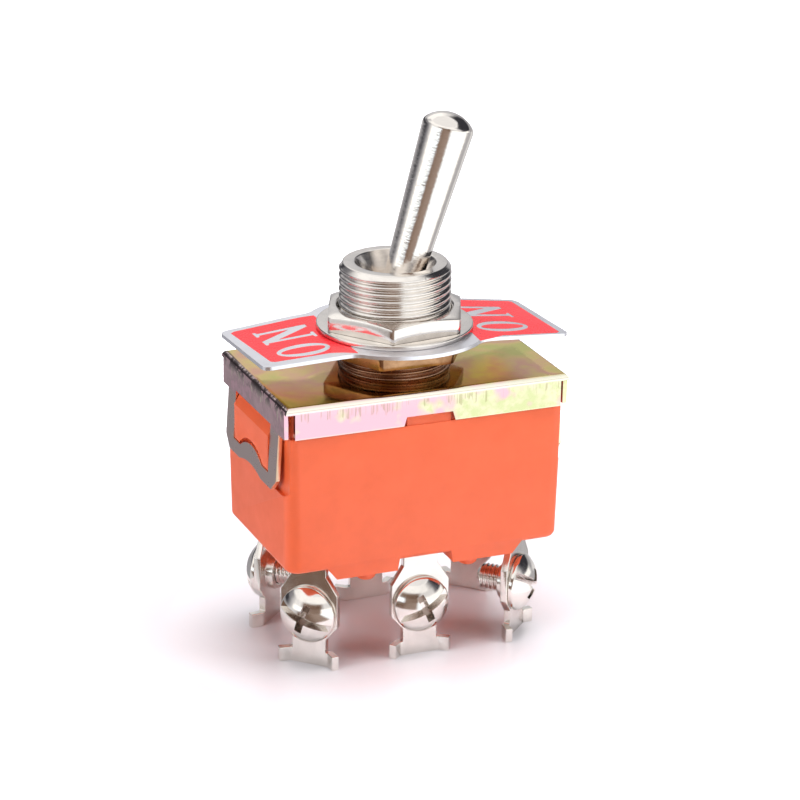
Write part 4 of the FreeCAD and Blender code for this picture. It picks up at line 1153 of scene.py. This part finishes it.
class SWITCH_OT_contacts(Builder, bpy.types.Operator):
    """Finish the rocking arms and the contacts"""
    bl_idname = "toggle_switch.contacts"
    bl_label = "Contacts"

    def build(self, switch):
        for pole in POLES:
            dress_node("contact_arm_" + pole, "brass")
            for hand in ("left", "right"):
                dress_node(f"moving_contact_{pole}_{hand}", "silver")
                dress_node(f"fixed_contact_{pole}_{hand}", "silver")


# Terminals and their screws

class SWITCH_OT_terminals(Builder, bpy.types.Operator):
    """Finish the six blanked terminals"""
    bl_idname = "toggle_switch.terminals"
    bl_label = "Terminals"

    def build(self, switch):
        settings = switch.terminals
        for name in TERMINALS:
            piece = worked_copy("terminal_" + name, "lug_" + name, "terminal")
            round_edges(piece, settings.edge, 2, 28.0)
            place(piece, "nickel_plate", "terminal_" + name)


def tapered_bar(length, width, depth, top, taper):
    """A bar that narrows downwards, to cut an arm of the cross recess."""
    mesh = bmesh.new()
    lower = [(sx * (length / 2 - taper), sy * (width / 2 - taper * 0.25), top - depth)
             for sx, sy in ((-1, -1), (1, -1), (1, 1), (-1, 1))]
    upper = [(sx * (length / 2 + taper), sy * width / 2, top + depth)
             for sx, sy in ((-1, -1), (1, -1), (1, 1), (-1, 1))]
    corners = [mesh.verts.new(c) for c in lower + upper]
    for face in ((3, 2, 1, 0), (4, 5, 6, 7), (0, 1, 5, 4), (1, 2, 6, 5), (2, 3, 7, 6), (3, 0, 4, 7)):
        mesh.faces.new([corners[i] for i in face])
    return mesh


def cut_with(piece, cutter):
    boolean = piece.modifiers.new("Recess", "BOOLEAN")
    boolean.operation = "DIFFERENCE"
    boolean.solver = "EXACT"
    boolean.object = cutter
    as_plain_mesh(piece)
    bpy.data.objects.remove(cutter)


def screw_template(settings):
    """One screw, its head's underside at the origin and its head towards +Z."""
    top = settings.rim + settings.dome
    ball = (settings.head_radius ** 2 + settings.dome ** 2) / (2 * settings.dome)
    half_angle = math.degrees(math.asin(settings.head_radius / ball))
    length = settings.length
    radius = settings.thread_radius
    steps = math.ceil(length / (settings.pitch / 8))
    tip = mm(0.4)
    shank = [(radius, -length + tip + (length - tip) * step / steps) for step in range(steps)]
    head = softened([
        (radius, 0), (settings.head_radius, 0), (settings.head_radius, settings.rim),
        arc((0, top - ball), ball, 90 - half_angle, 90, 14)[1]], mm(0.14), 3)
    dome = arc((0, top - ball), ball, 90 - half_angle, 90, 14)[2:-1]
    profile = [(0, -length), (radius - tip, -length)] + shank + head + dome + [(0, top)]
    mesh = turned(profile, 72)
    bmesh.ops.remove_doubles(mesh, verts=mesh.verts, dist=mm(0.0005))
    screw = new_piece("screw_template", mesh, "screw")
    slot_length = 2 * settings.head_radius + mm(1)
    slot = tapered_bar(slot_length, settings.slot_width, settings.slot_depth, top, 0.0)
    cut_with(screw, new_piece("slot_cutter", slot, None))
    for turn in (0.0, 90.0):
        arm = tapered_bar(settings.cross_length, settings.cross_width, settings.cross_depth, top, mm(0.42))
        bmesh.ops.rotate(arm, verts=arm.verts, matrix=Matrix.Rotation(math.radians(turn), 3, "Z"))
        cut_with(screw, new_piece("cross_cutter", arm, None))
    round_edges(screw, mm(0.035), 2, 40.0)
    as_plain_mesh(screw)
    # The recess attribute is where the painted shade goes: full 0.5 mm below the dome and within 1.8 mm of the
    # axis, fading to 0 by 2.6 mm and on the dome.
    recess = screw.data.attributes.new("recess", "FLOAT", "POINT")
    middle = Vector((0, 0, top - ball))
    for item, corner in zip(recess.data, screw.data.vertices):
        if corner.co.z > mm(0.2):
            sunk = (ball - (corner.co - middle).length) / mm(0.5)
            inner = (mm(2.6) - Vector((corner.co.x, corner.co.y)).length) / mm(0.8)
            item.value = min(max(sunk, 0.0), 1.0) * min(max(inner, 0.0), 1.0)
    apply_tree(screw, thread_tree(), Radius=radius, Depth=settings.thread_depth, Pitch=settings.pitch,
               Low=-length, High=0.0, Fade=mm(0.2), Finish=finish_named("screw"))
    return screw


SCREW_TURNS = {"left": -20.0, "centre": 25.0, "right": -35.0}


class SWITCH_OT_screws(Builder, bpy.types.Operator):
    """Set one domed screw with a slot and a cross recess on each terminal"""
    bl_idname = "toggle_switch.screws"
    bl_label = "Terminal screws"

    def build(self, switch):
        settings = switch.terminals
        template = screw_template(settings)
        points = bpy.data.meshes.new("terminal_screws")
        spots = []
        turns = []
        for mount in frame["record"]["mounts"]:
            if not mount["name"].startswith("wire_"):
                continue
            hand = mount["name"].split("_")[-1]
            outward = Vector(mount["axis"])
            heading = math.atan2(outward.y, outward.x) + math.pi / 2
            upright = Matrix.Rotation(heading, 3, "Z") @ Matrix.Rotation(math.pi / 2, 3, "X")
            turn = upright @ Matrix.Rotation(math.radians(SCREW_TURNS[hand]), 3, "Z")
            spots.append(tuple(mount["pos_m"]))
            turns.append(turn.to_euler())
        points.from_pydata(spots, [], [])
        stored = points.attributes.new("turn", "FLOAT_VECTOR", "POINT")
        for item, turn in zip(stored.data, turns):
            item.vector = tuple(turn)
        screws = bpy.data.objects.new("terminal_screws", points)
        bpy.context.scene.collection.objects.link(screws)
        apply_tree(screws, set_tree(), Template=template, Finish=finish_named("screw"))
        bpy.data.objects.remove(template)
        place(screws, "nickel_plate", *["terminal_screw_" + name for name in TERMINALS])


# Stage: floor, backdrop, lamps and camera

def seen_mask(tree):
    """1 for rays that look straight at, through or off something, 0 for light."""
    path = add(tree, "ShaderNodeLightPath").outputs
    looked = maths("ADD", path["Is Camera Ray"], path["Is Glossy Ray"])
    return maths("ADD", looked, path["Is Transmission Ray"], clamp=True)


def floor_finish(settings):
    material, tree = new_material("Studio floor")
    shader = tree.nodes["Principled BSDF"]
    shader.inputs["Base Color"].default_value = (*settings.floor, 1.0)
    shader.inputs["Roughness"].default_value = 0.24
    shader.inputs["Specular IOR Level"].default_value = 0.9
    # Painted shadow: the floor glows for camera and reflected rays, not at all within 26 mm of the middle and more
    # further out, so it stays darker round the object.
    share = spread(length_of(object_place(tree)), mm(26), mm(110), 0.0, 0.75, smooth=True)
    painted_floor_glow = add(tree, "ShaderNodeEmission", {"Color": (1, 1, 1, 1), "Strength": maths(
        "MULTIPLY", seen_mask(tree), share)})
    both = add(tree, "ShaderNodeAddShader", {0: shader.outputs[0], 1: painted_floor_glow.outputs[0]})
    tree.links.new(both.outputs[0], tree.nodes["Material Output"].inputs["Surface"])
    return material


def make_world():
    world = bpy.data.worlds.new("Studio")
    bpy.context.scene.world = world
    world.use_nodes = True
    tree = world.node_tree
    light = add(tree, "ShaderNodeBackground", {"Color": (0.97, 0.98, 1.0, 1.0), "Strength": 0.2})
    shown = add(tree, "ShaderNodeBackground", {"Color": (1, 1, 1, 1), "Strength": 1.0})
    both = add(tree, "ShaderNodeMixShader", {0: seen_mask(tree), 1: light.outputs[0], 2: shown.outputs[0]})
    tree.links.new(both.outputs[0], tree.nodes["World Output"].inputs["Surface"])


def aim_at(thing, spot, roll=0.0):
    """Turn an object's -Z towards a point, with a roll about that line."""
    forward = (Vector(spot) - thing.location).normalized()
    right = forward.cross(Vector((0, 0, 1))).normalized()
    up = right.cross(forward)
    rolled = right * math.cos(roll) + up * math.sin(roll)
    over = up * math.cos(roll) - right * math.sin(roll)
    thing.rotation_euler = Matrix((rolled, over, -forward)).transposed().to_euler()


def softbox(name, where, spot, width, height, power):
    lamp = bpy.data.lights.new(name, "AREA")
    lamp.shape = "RECTANGLE"
    lamp.size = width
    lamp.size_y = height
    lamp.energy = power
    holder = bpy.data.objects.new(name, lamp)
    bpy.context.scene.collection.objects.link(holder)
    holder.location = where
    aim_at(holder, spot)
    holder.visible_glossy = False


# Degrees about the object and how bright the studio is there: softboxes, flags and backdrop
STUDIO_TABLE = (
    (0, 0.5), (10, 0.5), (18, 0.9), (40, 0.6), (95, 0.6), (108, 0.36), (150, 0.4), (165, 0.8), (188, 0.7),
    (198, 0.12), (222, 0.14), (234, 0.26), (257, 0.3), (264, 1.4), (334, 1.5), (346, 0.5))
STUDIO_WALLS = (
    (0, 1.0), (12, 0.42), (58, 0.42), (74, 0.6), (84, 0.05), (138, 0.05), (150, 0.22), (166, 0.7),
    (176, 1.6), (216, 1.6), (225, 0.22), (260, 0.2), (267, 1.5), (348, 1.3))
STUDIO_UPPER = (
    (0, 0.04), (44, 0.04), (54, 0.55), (75, 0.74), (95, 0.6), (110, 0.16), (150, 0.3), (175, 1.0),
    (195, 1.0), (208, 0.16), (262, 0.12), (276, 0.9), (318, 0.9), (330, 0.2), (345, 0.06))
STUDIO_HIGH = (
    (0, 0.04), (42, 0.04), (52, 0.8), (70, 1.3), (100, 1.2), (120, 0.5), (150, 1.2), (300, 1.2),
    (330, 0.2), (342, 0.04))


def studio_tones(around, shares):
    """A band of the studio: brown behind the camera, a little blue elsewhere."""
    stops = []
    for degrees, share in shares:
        behind_camera = 190 < degrees < 265
        colour = (share ** 0.78, share, share ** 1.15) if behind_camera else (share, share, share ** 0.94)
        stops.append((degrees / 360, colour))
    return ramp(around, stops)


def wall_finish():
    """The studio's table and walls: bright softboxes between dark flags, pale high up."""
    material, tree = new_material("Studio walls")
    parts = split(object_place(tree))
    around = maths("FRACT", maths("ADD", turn_share(parts), 1.0))
    tone = studio_tones(around, STUDIO_TABLE)
    for low, high, band in ((0.0, 0.06, STUDIO_WALLS), (0.2, 0.27, STUDIO_UPPER), (0.46, 0.6, STUDIO_HIGH)):
        share = spread(parts["Z"], low, high, smooth=band is not STUDIO_WALLS)
        tone = mix_colour(share, tone, studio_tones(around, band))
    tone = mix_colour(spread(parts["Z"], 1.0, 1.2, smooth=True), tone, (1.2, 1.2, 1.2))
    glow = add(tree, "ShaderNodeEmission", {"Color": tone, "Strength": 1.0})
    tree.links.new(glow.outputs[0], tree.nodes["Material Output"].inputs["Surface"])
    return material


def studio_walls(table, radius, height):
    """Round walls that only reflections see, with the table from a distance outwards."""
    mesh = turned([(table, mm(0.2)), (radius, mm(0.2)), (radius, height)], 96)
    walls = new_piece("studio_walls", mesh, None)
    walls.data.materials.append(wall_finish())
    walls.visible_camera = False
    walls.visible_diffuse = False
    walls.visible_shadow = False
    walls.visible_transmission = False


class SWITCH_OT_stage(Builder, bpy.types.Operator):
    """Set the floor, the lamps and the camera"""
    bl_idname = "toggle_switch.stage"
    bl_label = "Stage"

    def build(self, switch):
        settings = switch.stage
        scene = bpy.context.scene
        scene.view_settings.view_transform = "Standard"
        mesh = bmesh.new()
        size = 3.0
        corners = ((-size, -size, 0), (size, -size, 0), (size, size, 0), (-size, size, 0))
        mesh.faces.new([mesh.verts.new(corner) for corner in corners])
        floor = new_piece("floor", mesh, None)
        floor.data.materials.append(floor_finish(settings))
        make_world()
        middle = Vector((0, 0, mm(28)))
        softbox("overhead", (0.05, 0.03, 0.6), middle, 0.34, 0.34, 4.1)
        softbox("left_box", (-0.55, -0.15, 0.3), middle, 0.3, 0.5, 2.0)
        softbox("right_box", (0.5, -0.32, 0.3), middle, 0.35, 0.5, 2.5)
        studio_walls(mm(25), 0.9, 1.25)
        camera = bpy.data.objects.new("camera", bpy.data.cameras.new("camera"))
        scene.collection.objects.link(camera)
        camera.data.lens = settings.lens
        camera.data.sensor_width = 36.0
        camera.data.clip_start = 0.01
        camera.location = settings.camera
        aim_at(camera, settings.aim, settings.roll)
        scene.camera = camera


PIECE_OPERATORS = (
    SWITCH_OT_housing, SWITCH_OT_cover, SWITCH_OT_bushing, SWITCH_OT_nuts, SWITCH_OT_label_plate,
    SWITCH_OT_lever, SWITCH_OT_contacts, SWITCH_OT_terminals, SWITCH_OT_screws, SWITCH_OT_stage)


class SWITCH_PT_panel(bpy.types.Panel):
    """Lists the pieces and their settings"""
    bl_idname = "SWITCH_PT_panel"
    bl_label = "Panel toggle switch"
    bl_space_type = "VIEW_3D"
    bl_region_type = "UI"
    bl_category = "Toggle switch"

    def draw(self, context):
        switch = context.scene.toggle_switch
        for operator in PIECE_OPERATORS:
            self.layout.operator(operator.bl_idname)
        for name in ("housing", "cover", "bushing", "nuts", "plate", "lever", "terminals", "stage"):
            box = self.layout.box()
            box.label(text=name.capitalize())
            group = getattr(switch, name)
            for setting in group.bl_rna.properties:
                if setting.identifier not in ("rna_type", "name"):
                    box.prop(group, setting.identifier)
        self.layout.prop(switch, "segments")


CLASSES = (
    HousingSettings, CoverSettings, BushingSettings, NutSettings, PlateSettings, LeverSettings,
    TerminalSettings, StageSettings, SwitchSettings, *PIECE_OPERATORS, SWITCH_PT_panel)


def register():
    for each in CLASSES:
        bpy.utils.register_class(each)
    bpy.types.Scene.toggle_switch = PointerProperty(type=SwitchSettings)


def unregister():
    del bpy.types.Scene.toggle_switch
    for each in reversed(CLASSES):
        bpy.utils.unregister_class(each)


def main():
    register()
    for operator in PIECE_OPERATORS:
        group, name = operator.bl_idname.split(".")
        getattr(getattr(bpy.ops, group), name)()


if __name__ == "__main__":
    main()
